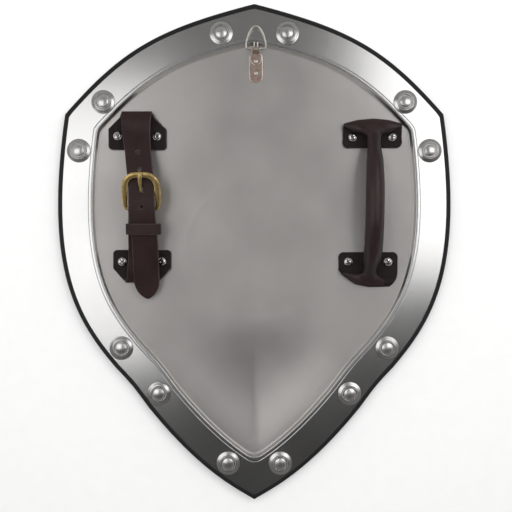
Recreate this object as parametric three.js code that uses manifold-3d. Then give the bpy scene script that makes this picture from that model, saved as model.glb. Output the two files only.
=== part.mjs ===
// A steel heater shield lying face down, its bearer's side up: pressed plate, edge trim,
// rim rivets, buckled arm strap, leather grip and wall hanger.
// Millimetres. +X is right and +Y is the top corner as the bearer's side is looked down on;
// +Z is up, away from the shield's face. The origin is on the surface that the shield lies
// on, under the middle of the flat disc that it rests on.
import * as THREE from 'three';
import { mergeVertices } from 'three/addons/utils/BufferGeometryUtils.js';
import Module from 'manifold-3d';

const wasm = await Module();
wasm.setup();

// ---- Driving dimensions ------------------------------------------------------------

const GAP = 0.3; // clearance between touching pieces
const ROUND = 10; // sides of a turned piece

// The right half of the outline, from the top corner to the tip, as cubic curves.
const APEX = [0, 305];
const SHOULDER = [233, 169];
const WAIST = [170, -143.5];
const FLANK = [129.5, -192.5];
const TIP = [0, -305];
const TOP_EDGE = [{ curve: [APEX, [118, 274.5], [162, 250.5], SHOULDER], steps: 9 }];
const SIDE_EDGE = [
  { curve: [SHOULDER, [259.5, -20], [222, -83], WAIST], steps: 11 },
  { curve: [WAIST, [148, -166.5], [148.5, -167], FLANK], steps: 3 },
  { curve: [FLANK, [64.5, -272.5], [22, -291.5], TIP], steps: 8 },
];
const CORNER_SOFTNESS = 0.05; // rounding of the inner lines at the top and the shoulders
const TIP_SOFTNESS = 0.25; // and at the tip, both as a share of the distance in

// The plate: a flat border, a step down to the panel, and a dish that ends in a flat disc.
const PLATE = 1.2;
const BORDER = 39; // from the outer edge to the top of the step
const STEP_RUN = 4.5;
const STEP_DROP = 4.5;
const DISH = 12; // the panel's edge above the disc
const DISC_R = 87;
const RING_LIFT = 0.5; // extra rise just outside the disc
const RING_SHARE = 0.1; // and the share of the panel it takes
const KEEL_DEPTH = 5.2; // soft valley from the disc to the tip
const KEEL_SPREAD = 52; // its half angle, in degrees
const PANEL_RINGS = [1, 0.7, 0.4, 0.2, 0.07, 0];

// The U-section trim round the edge.
const TRIM_WEB = 1.5;
const TRIM_LEG = 1.3;
const TRIM_REACH = 5;

// Rim rivets: centres on the right half, mirrored to the left.
const RIVETS = [[40.8, 269], [186, 184.3], [216.1, 124.3], [163.6, -118.8], [117.4, -174.8], [32.1, -260.4]];
const RIVET_SHANK = 3;
const ROSETTE_R = 14.5;
const ROSETTE_LIP = 3.4; // height of the rosette's inner ring
const ROSETTE_SEAT = 2.6;
const DOME_R = 7.1;
const DOME_H = 2.8;
const FACE_HEAD_R = 8;
const FACE_HEAD_H = 4.5;

// Screws and the binding posts that they enter from the face.
const SCREW_HEAD_R = 5.6;
const SCREW_HEAD_H = 3;
const SCREW_SHANK = 2;
const POST_HEAD_R = 6;
const POST_HEAD_H = 1.4;
const POST_BARREL = 3;

// Leather pads, screwed to the panel in pairs of holes.
const LEATHER = 3.2;
const PAD_LIFT = 0.5;
const SCREW_SPREAD = 24.2; // half the distance between a pad's screws
const STRAP_TOP_PAD = [-144.6, 142.5]; // middle between the two screws of each pad
const STRAP_LOW_PAD = [-139, -12.4];
const GRIP_TOP_PAD = [146, 141.5];
const GRIP_LOW_PAD = [141, -12.6];

// The arm strap.
const STRAP_WIDTH = 30;
const CHAPE = 3; // thickness of the buckle's half of the strap
const KEEPER = { at: [-132.3, 27], width: 41, length: 13, wall: 2.2, height: 13.2, rise: 39.6, tilt: 14 };

// The buckle: a horseshoe frame on a heel bar, tilted up towards its top.
const HEEL_BAR = { x: -133.8, y: 52, z: 40, r: 2 };
const BUCKLE = { inner: 31, outer: 46, length: 40.5, tilt: 18, corner: 11, thickness: 4.2 };
const TONGUE = { width: 4.6, thickness: 2.2, slot: 7.5 };
const TONGUE_HOLE = { y: 71.5, width: 6.4, length: 11 };

// The wall hanger.
const HANGER_X = 2;
const HANGER_SHEET = 1.2;
const HANGER_WIDTH = 17;
const HANGER_NECK = 10;
const RING_WIRE = 1;
const RING_BAR = { y: 250.6, z: 15.8 };
const RING_HALF = 12.2; // half the width of the ring at its bar
const RING_HEIGHT = 26.4;
const RING_TILT = 17; // degrees that the ring rises, where it lies on the border
const HANGER_RIVETS = [235, 220.8];

const BORDER_BACK = PLATE + DISH + STEP_DROP;
const BORDER_FACE = BORDER_BACK - PLATE;

// ---- Materials ---------------------------------------------------------------------

const paint = (color, roughness, metalness) => () => new THREE.MeshStandardMaterial({ color, roughness, metalness });
const steel = paint(0xa9a6a2, 0.35, 1);
const trimBlack = paint(0x17161a, 0.5, 0);
const rivetSteel = paint(0xb4b3b0, 0.2, 1);
const leather = paint(0x33241f, 0.6, 0);
const brass = paint(0x8f7640, 0.3, 1);
const hangerPlating = paint(0xa59a8c, 0.35, 1);

// ---- Geometry helpers --------------------------------------------------------------

const radians = THREE.MathUtils.degToRad;
const vec = (x, y, z) => new THREE.Vector3(x, y, z);

function signedVolume(positions, index) {
  const corner = (i) => new THREE.Vector3().fromArray(positions, 3 * index[i]);
  let volume = 0;
  for (let i = 0; i < index.length; i += 3) {
    volume += corner(i).dot(corner(i + 1).cross(corner(i + 2))) / 6;
  }
  return volume;
}

function closedGeometry(positions, index) {
  const facing = signedVolume(positions, index) < 0 ? [...index].reverse() : index;
  const geometry = new THREE.BufferGeometry();
  geometry.setAttribute('position', new THREE.Float32BufferAttribute(positions, 3));
  geometry.setIndex(facing);
  return geometry;
}

// A closed body through a row of sections that have the same number of points. A looped
// row joins its last section to its first; an open one is capped with fans.
function skin(sections, looped = false) {
  const size = sections[0].length;
  const points = sections.flat();
  const index = [];
  const rows = looped ? sections.length : sections.length - 1;
  for (let row = 0; row < rows; row += 1) {
    const next = (row + 1) % sections.length;
    for (let i = 0; i < size; i += 1) {
      const j = (i + 1) % size;
      index.push(row * size + i, row * size + j, next * size + j);
      index.push(row * size + i, next * size + j, next * size + i);
    }
  }
  if (!looped) {
    for (const [row, turn] of [[0, 1], [sections.length - 1, -1]]) {
      const middle = points.length;
      points.push(sections[row].reduce((sum, p) => sum.add(p), vec(0, 0, 0)).divideScalar(size));
      for (let i = 0; i < size; i += 1) {
        const j = (i + 1) % size;
        index.push(middle, row * size + (turn > 0 ? j : i), row * size + (turn > 0 ? i : j));
      }
    }
  }
  return closedGeometry(points.flatMap((p) => p.toArray()), index);
}

function solidOf(geometry) {
  const bare = geometry.clone();
  bare.deleteAttribute('normal');
  bare.deleteAttribute('uv');
  const merged = mergeVertices(bare, 1e-4);
  return new wasm.Manifold(new wasm.Mesh({
    numProp: 3,
    vertProperties: new Float32Array(merged.attributes.position.array),
    triVerts: new Uint32Array(merged.index.array),
  }));
}

function geometryOf(solid) {
  const mesh = solid.getMesh();
  const geometry = new THREE.BufferGeometry();
  geometry.setAttribute('position', new THREE.Float32BufferAttribute(mesh.vertProperties, 3));
  geometry.setIndex(Array.from(mesh.triVerts));
  return geometry;
}

const join = (...bodies) => geometryOf(bodies.map(solidOf).reduce((sum, body) => sum.add(body)));
const cut = (body, tools) => geometryOf(tools.map(solidOf).reduce((left, tool) => left.subtract(tool), solidOf(body)));

// A round cutter or pin along Z.
function drill(x, y, z, radius, length) {
  const geometry = new THREE.CylinderGeometry(radius, radius, length, ROUND);
  return geometry.rotateX(Math.PI / 2).translate(x, y, z);
}

// A turned piece along Z, from its profile of [radius, height] points.
function turned(profile) {
  const points = profile.map(([r, z]) => new THREE.Vector2(r, z));
  return new THREE.LatheGeometry(points, ROUND).rotateX(Math.PI / 2);
}

// Sections across a path that lies in a plane of constant X, give or take a slow drift.
// Each station is [x, y, z, half width across X, half thickness].
function pathSections(stations, section) {
  return stations.map(([x, y, z, half, thick], i) => {
    const before = stations[Math.max(i - 1, 0)];
    const after = stations[Math.min(i + 1, stations.length - 1)];
    const along = vec(0, after[1] - before[1], after[2] - before[2]).normalize();
    const normal = vec(0, -along.z, along.y);
    return section(half, thick).map(([u, v]) => vec(x + u, y, z).addScaledVector(normal, v));
  });
}

const flatSection = (half, thick) => [[-half, -thick], [half, -thick], [half, thick], [-half, thick]];

function ovalSection(half, thick) {
  return Array.from({ length: ROUND }, (_, i) => {
    const angle = (2 * Math.PI * i) / ROUND;
    return [half * Math.cos(angle), thick * Math.sin(angle)];
  });
}

// ---- Outline and plate -------------------------------------------------------------

function cubicPoints({ curve, steps }, fineness = 1) {
  const [a, b, c, d] = curve.map(([x, y]) => new THREE.Vector2(x, y));
  return new THREE.CubicBezierCurve(a, b, c, d).getSpacedPoints(steps * fineness);
}

function edgeLine(parts, fineness) {
  return parts.flatMap((part, i) => cubicPoints(part, fineness).slice(i === 0 ? 0 : 1));
}

const FINENESS = 4;
const topLine = edgeLine(TOP_EDGE, FINENESS);
const sideLine = edgeLine(SIDE_EDGE, FINENESS);

function distanceToLine(point, line) {
  let nearest = Infinity;
  for (let i = 1; i < line.length; i += 1) {
    const edge = line[i].clone().sub(line[i - 1]);
    const share = THREE.MathUtils.clamp(point.clone().sub(line[i - 1]).dot(edge) / edge.lengthSq(), 0, 1);
    nearest = Math.min(nearest, point.distanceTo(line[i - 1].clone().addScaledVector(edge, share)));
  }
  return nearest;
}

function softMin(a, b, width) {
  const share = Math.max(width - Math.abs(a - b), 0) / width;
  return Math.min(a, b) - (share * share * width) / 4;
}

// How far a point lies in from the outline, with the corners rounded as for that distance.
function depthAt(point, distance) {
  const mirrored = new THREE.Vector2(-point.x, point.y);
  const soft = CORNER_SOFTNESS * distance;
  const top = softMin(distanceToLine(point, topLine), distanceToLine(mirrored, topLine), soft);
  const sides = softMin(
    distanceToLine(point, sideLine),
    distanceToLine(mirrored, sideLine),
    TIP_SOFTNESS * distance,
  );
  return softMin(top, sides, soft);
}

// The point on the ray from the middle to an outline point, at a given distance in.
function insetPoint(outer, distance) {
  let [low, high] = [0, 0.6];
  for (let i = 0; i < 30; i += 1) {
    const share = (low + high) / 2;
    const reached = depthAt(outer.clone().multiplyScalar(1 - share), distance) >= distance;
    [low, high] = reached ? [low, share] : [share, high];
  }
  return outer.clone().multiplyScalar(1 - (low + high) / 2);
}

const halfOutline = edgeLine([...TOP_EDGE, ...SIDE_EDGE], 1);

// A loop round the whole shield, from a function of the right half's outline points.
function wholeLoop(place) {
  const right = halfOutline.map(place);
  const left = right.slice(1, -1).reverse().map((p) => new THREE.Vector2(-p.x, p.y));
  return [...right, ...left];
}

const insetLoop = (distance) => wholeLoop((outer) => insetPoint(outer, distance));
const plateEdge = insetLoop(TRIM_WEB + GAP);
const stepTop = insetLoop(BORDER);
const panelEdge = insetLoop(BORDER + STEP_RUN);

// Distance from the middle to the panel's edge, in the direction of a point.
function panelReach(x, y) {
  const direction = new THREE.Vector2(x, y).normalize();
  for (let i = 0; i < panelEdge.length; i += 1) {
    const a = panelEdge[i];
    const b = panelEdge[(i + 1) % panelEdge.length];
    const [sideA, sideB] = [direction.cross(a), direction.cross(b)];
    if (sideA >= 0 && sideB < 0 && direction.dot(a) > 0) {
      return direction.dot(a.clone().lerp(b, sideA / (sideA - sideB)));
    }
  }
  return DISC_R;
}

// Height of the panel's back, for a share of the way from the disc (0) to the edge (1).
function panelHeight(x, y, share) {
  const rise = RING_LIFT * (1 - Math.exp(-share / RING_SHARE)) + (DISH - RING_LIFT) * share;
  const offKeel = THREE.MathUtils.radToDeg(Math.atan2(Math.abs(x), -y)) / KEEL_SPREAD;
  const keel = KEEL_DEPTH * Math.max(0, Math.sin(Math.PI * share)) ** 1.5 * Math.max(0, 1 - offKeel) ** 1.3;
  return PLATE + rise - keel;
}

function backAt(x, y) {
  const radius = Math.hypot(x, y);
  if (radius <= DISC_R) return PLATE;
  return panelHeight(x, y, Math.min(1, (radius - DISC_R) / (panelReach(x, y) - DISC_R)));
}

function panelRing(share) {
  return panelEdge.map((edge) => {
    const point = edge.clone().setLength(DISC_R).lerp(edge, share);
    return vec(point.x, point.y, panelHeight(point.x, point.y, share));
  });
}

const flatRing = (loop, z) => loop.map((p) => vec(p.x, p.y, z));
const eachRivet = (make) => RIVETS.flatMap(([x, y], i) => [make(-x, y, 2 * i + 1), make(x, y, 2 * i + 2)]);

const padScrews = ([x, y]) => [[x - SCREW_SPREAD, y], [x + SCREW_SPREAD, y]];
const strapScrews = [...padScrews(STRAP_TOP_PAD), ...padScrews(STRAP_LOW_PAD)];
const gripScrews = [...padScrews(GRIP_TOP_PAD), ...padScrews(GRIP_LOW_PAD)];

function shieldPlate() {
  const back = [
    flatRing(plateEdge, BORDER_BACK),
    flatRing(stepTop, BORDER_BACK),
    ...PANEL_RINGS.map(panelRing),
  ];
  const face = back.map((ring) => ring.map((p) => p.clone().setZ(p.z - PLATE)));
  const holes = [
    ...eachRivet((x, y) => drill(x, y, BORDER_BACK, RIVET_SHANK + GAP, 8)),
    ...[...strapScrews, ...gripScrews].map(([x, y]) => drill(x, y, backAt(x, y), POST_BARREL + GAP, 8)),
    ...HANGER_RIVETS.map((y) => drill(HANGER_X, y, backAt(0, y), 1.3 + GAP, 8)),
  ];
  return cut(skin([...back.reverse(), ...face]), holes);
}

function edgeTrim() {
  const outside = BORDER_BACK + GAP + TRIM_LEG;
  const under = BORDER_FACE - GAP - TRIM_LEG;
  const section = [
    [TRIM_REACH, BORDER_BACK + GAP], [TRIM_REACH - 0.4, outside], [TRIM_LEG, outside],
    [0, outside - TRIM_LEG], [0, under + TRIM_LEG], [TRIM_LEG, under],
    [TRIM_REACH - 0.4, under], [TRIM_REACH, BORDER_FACE - GAP],
    [TRIM_WEB, BORDER_FACE - GAP], [TRIM_WEB, BORDER_BACK + GAP],
  ];
  const loops = new Map([0, TRIM_LEG, TRIM_WEB, TRIM_REACH - 0.4, TRIM_REACH].map((d) => [d, insetLoop(d || 1e-3)]));
  return skin(plateEdge.map((_, i) => section.map(([d, z]) => {
    const point = loops.get(d)[i];
    return vec(point.x, point.y, z);
  })), true);
}

// ---- Rivets and screws -------------------------------------------------------------

const rosette = () => turned([
  [RIVET_SHANK + GAP, 0], [ROSETTE_R, 0], [ROSETTE_R, 0.8], [8.6, ROSETTE_LIP],
  [DOME_R + GAP, ROSETTE_SEAT], [RIVET_SHANK + GAP, ROSETTE_SEAT], [RIVET_SHANK + GAP, 0],
]);

function rimRivet() {
  const seat = ROSETTE_SEAT + GAP;
  const face = -PLATE - 2 * GAP;
  return turned([
    [0, face - FACE_HEAD_H], [0.6 * FACE_HEAD_R, face - 0.75 * FACE_HEAD_H], [FACE_HEAD_R, face],
    [RIVET_SHANK, face], [RIVET_SHANK, seat], [DOME_R, seat],
    [0.85 * DOME_R, seat + 0.5 * DOME_H], [0.45 * DOME_R, seat + 0.9 * DOME_H], [0, seat + DOME_H],
  ]);
}

const padTop = (x, y) => backAt(x, y) + PAD_LIFT + LEATHER;

// Screw from the back, measured from the top of the leather under its head.
function padScrew() {
  const head = GAP + 0.5;
  return turned([
    [0, -LEATHER - 0.8], [SCREW_SHANK, -LEATHER - 0.8], [SCREW_SHANK, head], [SCREW_HEAD_R, head],
    [0.75 * SCREW_HEAD_R, head + 0.8 * SCREW_HEAD_H], [0, head + SCREW_HEAD_H],
  ]);
}

// Binding post from the face, measured from the plate's back.
function bindingPost() {
  const head = -PLATE - GAP - 0.4;
  const top = PAD_LIFT + 0.6 * LEATHER;
  return turned([
    [0, head - POST_HEAD_H], [POST_HEAD_R, head],
    [POST_BARREL, head], [POST_BARREL, top], [SCREW_SHANK + GAP, top],
    [SCREW_SHANK + GAP, head], [0, head],
  ]);
}

// ---- Leather -----------------------------------------------------------------------

// A pad cut from sheet leather, laid on the panel. Corners are [x, y] about its middle.
function pad([cx, cy], corners) {
  const shape = new THREE.Shape(corners.map(([x, y]) => new THREE.Vector2(cx + x, cy + y)));
  const geometry = new THREE.ExtrudeGeometry(shape, { depth: LEATHER, bevelEnabled: false });
  const position = geometry.attributes.position;
  for (let i = 0; i < position.count; i += 1) {
    const [x, y] = [position.getX(i), position.getY(i)];
    position.setZ(i, position.getZ(i) + backAt(x, y) + PAD_LIFT);
  }
  return geometry;
}

const screwHoles = (screws) => screws.map(([x, y]) => drill(x, y, backAt(x, y), POST_BARREL + GAP, 14));

// Stations along a smooth strap line through knots of [x, y, z, half width].
function strapStations(knots, count, thickness) {
  const line = new THREE.CatmullRomCurve3(knots.map(([x, y, z]) => vec(x, y, z)), false, 'centripetal');
  const widths = knots.map((knot) => knot[3]);
  return Array.from({ length: count + 1 }, (_, i) => {
    const t = i / count;
    const point = line.getPoint(t);
    const place = t * (widths.length - 1);
    const low = Math.min(Math.floor(place), widths.length - 2);
    const half = THREE.MathUtils.lerp(widths[low], widths[low + 1], place - low);
    return [point.x, point.y, point.z, half, thickness / 2];
  });
}

function strapBillet() {
  const [cx, cy] = STRAP_TOP_PAD;
  const half = STRAP_WIDTH / 2;
  const base = pad(STRAP_TOP_PAD, [
    [-32, -16], [32, -16], [35, -13], [35, 8], [19, 26], [-19, 26], [-35, 10], [-35, -13],
  ]);
  const low = backAt(cx - 18, cy + 18) + PAD_LIFT + LEATHER / 2;
  const line = strapStations([
    [cx, cy + 12, low, 14], [cx, cy + 23, low + 1.6, 18], [cx, cy + 28.4, low + 5.4, 18.5],
    [cx, cy + 23, low + 9.4, 18], [cx + 0.8, cy + 4, 25.8, 16], [-139.5, 122, 33, half],
    [-136.2, 103, 39.4, half], [-133.9, 88, 43.4, half], [HEEL_BAR.x, 72, 46.2, half],
    [HEEL_BAR.x, 57, 47.8, half], [-133.4, 42, 45.8, half], [-132.3, 24, 40.6, half],
    [-131.8, 0, 33, half], [-131.6, -25, 26.2, half], [-131.2, -42, 22.6, half],
    [-130.9, -51, 20.8, 0.85 * half], [-130.7, -57.5, 19.4, 0.3 * half],
  ], 36, LEATHER);
  const strap = skin(pathSections(line, flatSection));
  const { y, width, length } = TONGUE_HOLE;
  const hole = new THREE.BoxGeometry(width, length, 12).translate(HEEL_BAR.x, y, HEEL_BAR.z + 6.5);
  return cut(join(base, strap), [hole, ...screwHoles(strapScrews.slice(0, 2))]);
}

function strapChape() {
  const [cx, cy] = STRAP_LOW_PAD;
  const half = STRAP_WIDTH / 2;
  const { x, y, z, r } = HEEL_BAR;
  const base = pad(STRAP_LOW_PAD, [
    [-35, -8], [-22, -23], [22, -23], [35, -9], [35, 11], [32, 14], [-32, 14], [-35, 11],
  ]);
  const low = backAt(cx - 18, cy - 15) + PAD_LIFT + LEATHER / 2;
  const loop = r + GAP + CHAPE / 2;
  const round = [90, 45, 0, -45, -90].map((angle) => [
    x, y + loop * Math.cos(radians(angle)), z + loop * Math.sin(radians(angle)), half, CHAPE / 2,
  ]);
  const line = strapStations([
    [cx, cy - 10, low, half], [cx, cy - 19, low + 0.6, half + 3], [cx, cy - 24.4, low + 4, half + 3],
    [cx, cy - 19, low + 7.6, half + 1.5], [-137, -6, 25.2, half], [-135, 28, 37.6, half],
    [x, 46, 42.6, half],
  ], 20, CHAPE);
  const tail = [[x, 44, 35.2, half, CHAPE / 2], [x - 0.6, 34, 32.9, half, CHAPE / 2]];
  const strap = skin(pathSections([...line, ...round, ...tail], flatSection));
  const slot = new THREE.BoxGeometry(TONGUE.slot, 18, 14).translate(x, y + 3, z);
  return cut(join(base, strap), [slot, ...screwHoles(strapScrews.slice(2))]);
}

function strapKeeper() {
  const { at, width, length, wall, height, rise, tilt } = KEEPER;
  const frame = (w, h) => [[-w, -h], [w, -h], [w, h], [-w, h]];
  const outer = frame(width / 2, height / 2);
  const inner = frame(width / 2 - wall, height / 2 - wall);
  const corners = (points, along) => points.map(([u, v]) => vec(u, along, v));
  const sections = [[outer, -1], [outer, 1], [inner, 1], [inner, -1]]
    .map(([points, end]) => corners(points, (end * length) / 2));
  return skin(sections, true).rotateX(radians(tilt + 5)).translate(at[0], at[1], rise);
}

function handGrip() {
  const [tx, ty] = GRIP_TOP_PAD;
  const [lx, ly] = GRIP_LOW_PAD;
  const top = pad(GRIP_TOP_PAD, [
    [-32, -13], [32, -13], [36, -9], [36, 17], [20, 20], [-20, 20], [-36, 17], [-36, -9],
  ]);
  const bottom = pad(GRIP_LOW_PAD, [
    [-36, 8], [-36, -17], [-22, -29], [30, -28], [36, -22], [36, 8], [32, 12], [-32, 12],
  ]);
  const topLow = backAt(tx + 30, ty + 12) + PAD_LIFT + LEATHER / 2;
  const bottomLow = backAt(lx + 26, ly - 22) + PAD_LIFT + LEATHER / 2;
  const line = [
    [tx, ty + 10, topLow, 33, 1.4], [tx, ty + 19, topLow + 1.4, 35, 1.6],
    [tx, ty + 22, topLow + 4.6, 35, 1.6], [tx, ty + 17, topLow + 7.6, 31, 2],
    [tx - 0.4, ty + 9, topLow + 10, 19, 3.6], [tx - 0.8, ty + 1, topLow + 13.4, 10, 6.6],
    [144.2, 130, 34, 9, 8.6], [143, 110, 42.5, 10.6, 9.8], [142.4, 85, 47.6, 11.4, 10],
    [142.2, 55, 49.4, 11.6, 10], [142, 25, 46.6, 11.5, 10], [141.4, 2, 38.4, 10.4, 9.4],
    [lx, -14, 29, 8.8, 7.8], [lx, -25, 22, 10.5, 5.4], [lx, -33, 18.4, 19, 3],
    [lx, -39.6, 15.8, 27, 1.8], [lx, -43.4, bottomLow + 3.6, 26, 1.6],
    [lx, -40.6, bottomLow + 1, 26, 1.5], [lx, -30, bottomLow + 0.2, 24, 1.4],
  ];
  const tube = skin(pathSections(line, ovalSection));
  return cut(join(top, bottom, tube), screwHoles(gripScrews));
}

// ---- Buckle ------------------------------------------------------------------------

// The frame's stations in its own plane: [across, along, half width, half thickness].
function buckleStations() {
  const side = (BUCKLE.inner + BUCKLE.outer) / 4;
  const half = (BUCKLE.outer - BUCKLE.inner) / 4;
  const { corner, length } = BUCKLE;
  const crown = length - 0.8 * half;
  const thick = BUCKLE.thickness / 2;
  const right = [
    [side - 4, 0, HEEL_BAR.r, HEEL_BAR.r], [side, 0.6, 0.6 * half, 0.9 * thick],
    [side, 7, 0.85 * half, thick], [side, crown - corner - 6, half, thick],
  ];
  for (const angle of [15, 40, 65]) {
    right.push([
      side - corner + corner * Math.cos(radians(angle)),
      crown - corner + corner * Math.sin(radians(angle)), 0.95 * half, thick,
    ]);
  }
  const left = [...right].reverse().map(([u, ...rest]) => [-u, ...rest]);
  return [...right, [0, crown + 0.4, 0.85 * half, thick], ...left];
}

function buckleFrame() {
  const stations = buckleStations();
  const count = stations.length;
  const sections = stations.map(([u, v, half, thick], i) => {
    const before = stations[(i + count - 1) % count];
    const after = stations[(i + 1) % count];
    const along = new THREE.Vector2(after[0] - before[0], after[1] - before[1]).normalize();
    return Array.from({ length: 8 }, (_, k) => {
      const angle = (Math.PI * (k + 0.5)) / 4;
      const across = half * Math.cos(angle);
      return vec(u + along.y * across, v - along.x * across, thick * Math.sin(angle));
    });
  });
  return skin(sections, true).rotateX(radians(BUCKLE.tilt)).translate(HEEL_BAR.x, HEEL_BAR.y, HEEL_BAR.z);
}

function buckleTongue() {
  const { x, y, z, r } = HEEL_BAR;
  const half = TONGUE.width / 2;
  const thick = TONGUE.thickness / 2;
  const reach = r + GAP + thick;
  const loop = [130, 165, 200, 235, 270, 300].map((angle) => [
    x, y + reach * Math.cos(radians(angle)), z + reach * Math.sin(radians(angle)), half, thick,
  ]);
  const pin = [
    [62, 40.8], [67.6, 43.8], [72.4, 48.8], [78, 52.6], [86, 55.2], [91.5, 55.6],
  ].map(([py, pz]) => [x, py, pz, half, thick]);
  const end = [x, 94.2, 55.2, 0.5 * half, 0.7 * thick];
  return skin(pathSections([...loop, ...pin, end], flatSection));
}

// ---- Wall hanger -------------------------------------------------------------------

function hangerPlate() {
  const thick = HANGER_SHEET / 2;
  const lift = 0.4 + thick;
  const wide = HANGER_WIDTH / 2;
  const neck = HANGER_NECK / 2;
  const fold = RING_WIRE + GAP + thick;
  const place = (y, half, raise = 0) => [HANGER_X, y, backAt(0, y) + lift + raise, half, thick];
  const base = [
    [209.9, 2.5], [211.4, 5.6], [214.4, 7.8], [218.4, wide], [242, wide], [244.6, neck], [248, neck],
  ].map(([y, half]) => place(y, half));
  const bend = [-60, -20, 20, 60, 90].map((angle) => [
    HANGER_X, RING_BAR.y + fold * Math.cos(radians(angle)), RING_BAR.z + fold * Math.sin(radians(angle)),
    neck, thick,
  ]);
  const raise = HANGER_SHEET + GAP;
  const tab = [
    [246, neck, raise + 1.2], [243.4, 6.6, raise], [238, 6.6, raise], [233, 5.2, raise], [230.4, 1.6, raise],
  ].map(([y, half, up]) => place(y, half, up));
  const folded = skin(pathSections([...base, ...bend, ...tab], flatSection));
  return cut(folded, HANGER_RIVETS.map((y) => drill(HANGER_X, y, backAt(0, y), 1.3 + GAP, 8)));
}

function hangerRing() {
  const side = [
    [0, 0], [0.75, 0], [0.97, 0.05], [1, 0.16], [0.84, 0.42], [0.56, 0.7], [0.26, 0.92],
  ].map(([u, v]) => [u * RING_HALF, v * RING_HEIGHT]);
  const left = side.slice(1).reverse().map(([u, v]) => [-u, v]);
  const points = [...side, [0, RING_HEIGHT - RING_WIRE], ...left];
  const sections = points.map(([u, v], i) => {
    const before = points[(i + points.length - 1) % points.length];
    const after = points[(i + 1) % points.length];
    const along = new THREE.Vector2(after[0] - before[0], after[1] - before[1]).normalize();
    return Array.from({ length: 6 }, (_, k) => {
      const angle = (Math.PI * k) / 3;
      const across = RING_WIRE * Math.cos(angle);
      return vec(u + along.y * across, v - along.x * across, RING_WIRE * Math.sin(angle));
    });
  });
  return skin(sections, true).rotateX(radians(RING_TILT)).translate(HANGER_X, RING_BAR.y, RING_BAR.z);
}

// Rivet through the hanger and the plate, measured from the plate's back.
function hangerRivet(layers) {
  const top = 0.4 + GAP + layers * (HANGER_SHEET + GAP);
  const under = -PLATE - GAP - 0.2;
  return turned([
    [0, under - 1.2], [1.8, under - 1], [2.6, under], [1.3, under], [1.3, top],
    [2.65, top], [1.9, top + 1], [0, top + 1.3],
  ]);
}

// ---- The shield --------------------------------------------------------------------

const shield = new THREE.Group();

function add(name, geometry, material, x = 0, y = 0, z = 0) {
  const mesh = new THREE.Mesh(geometry, material());
  mesh.name = name;
  mesh.position.set(x, y, z);
  shield.add(mesh);
}

add('shield_plate', shieldPlate(), steel);
add('edge_trim', edgeTrim(), trimBlack);
eachRivet((x, y, number) => {
  add(`rim_rosette_${number}`, rosette(), rivetSteel, x, y, BORDER_BACK + GAP);
  add(`rim_rivet_${number}`, rimRivet(), rivetSteel, x, y, BORDER_BACK + GAP);
});
add('strap_billet', strapBillet(), leather);
add('strap_chape', strapChape(), leather);
add('strap_keeper', strapKeeper(), leather);
add('buckle_frame', buckleFrame(), brass);
add('buckle_tongue', buckleTongue(), brass);
add('hand_grip', handGrip(), leather);
for (const [name, screws] of [['strap', strapScrews], ['grip', gripScrews]]) {
  screws.forEach(([x, y], i) => {
    add(`${name}_screw_${i + 1}`, padScrew(), rivetSteel, x, y, padTop(x, y));
    add(`${name}_post_${i + 1}`, bindingPost(), rivetSteel, x, y, backAt(x, y));
  });
}
add('hanger_plate', hangerPlate(), hangerPlating);
add('hanger_ring', hangerRing(), hangerPlating);
HANGER_RIVETS.forEach((y, i) => {
  add(`hanger_rivet_${i + 1}`, hangerRivet(2 - i), hangerPlating, HANGER_X, y, backAt(HANGER_X, y));
});

export default shield;
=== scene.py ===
# %% [markdown]
# # A steel heater shield, lying on its face
# What the bearer sees: a pressed steel sheet with a flat border and a dished panel, an
# edging pushed over its rim, domed rivets on turned washers, an arm strap with a brass
# buckle, a rolled leather grip and a small wall hanger. The measured model already says
# where everything is, so each finished piece is built in that same frame.

# %% Load the measured frame
import math

import bmesh
import bpy
import numpy as np
from mathutils import Matrix, Vector
from mathutils.geometry import interpolate_bezier


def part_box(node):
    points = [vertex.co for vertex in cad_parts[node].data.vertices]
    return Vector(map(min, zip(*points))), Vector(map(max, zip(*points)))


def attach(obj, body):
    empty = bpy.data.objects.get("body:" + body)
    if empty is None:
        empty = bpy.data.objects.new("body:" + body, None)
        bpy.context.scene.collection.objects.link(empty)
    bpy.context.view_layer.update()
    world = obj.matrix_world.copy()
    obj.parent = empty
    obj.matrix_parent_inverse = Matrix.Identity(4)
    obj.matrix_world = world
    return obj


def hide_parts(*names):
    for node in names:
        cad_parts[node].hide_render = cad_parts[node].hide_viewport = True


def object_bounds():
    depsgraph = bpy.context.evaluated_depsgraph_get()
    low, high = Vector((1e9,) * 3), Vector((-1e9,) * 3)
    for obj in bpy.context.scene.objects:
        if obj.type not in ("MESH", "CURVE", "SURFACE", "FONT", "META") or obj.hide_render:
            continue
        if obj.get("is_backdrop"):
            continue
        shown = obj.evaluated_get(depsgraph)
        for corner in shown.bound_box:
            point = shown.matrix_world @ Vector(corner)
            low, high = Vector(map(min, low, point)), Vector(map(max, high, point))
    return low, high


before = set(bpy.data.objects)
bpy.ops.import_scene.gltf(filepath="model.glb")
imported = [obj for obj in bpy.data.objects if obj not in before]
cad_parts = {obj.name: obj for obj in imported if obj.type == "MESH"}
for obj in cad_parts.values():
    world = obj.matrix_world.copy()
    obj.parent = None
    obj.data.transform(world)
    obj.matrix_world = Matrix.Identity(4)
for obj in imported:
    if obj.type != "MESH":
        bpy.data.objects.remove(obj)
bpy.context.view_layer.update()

MM = 0.001

# %% [markdown]
# # Light and camera
# Steel shows its surroundings more than itself, so the studio comes first. Two soft boxes
# hang left and right of the shield and a weak one between them. The room is dark overhead
# and pale low down, and a light that the steel doesn't mirror keeps the floor pale.

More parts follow.
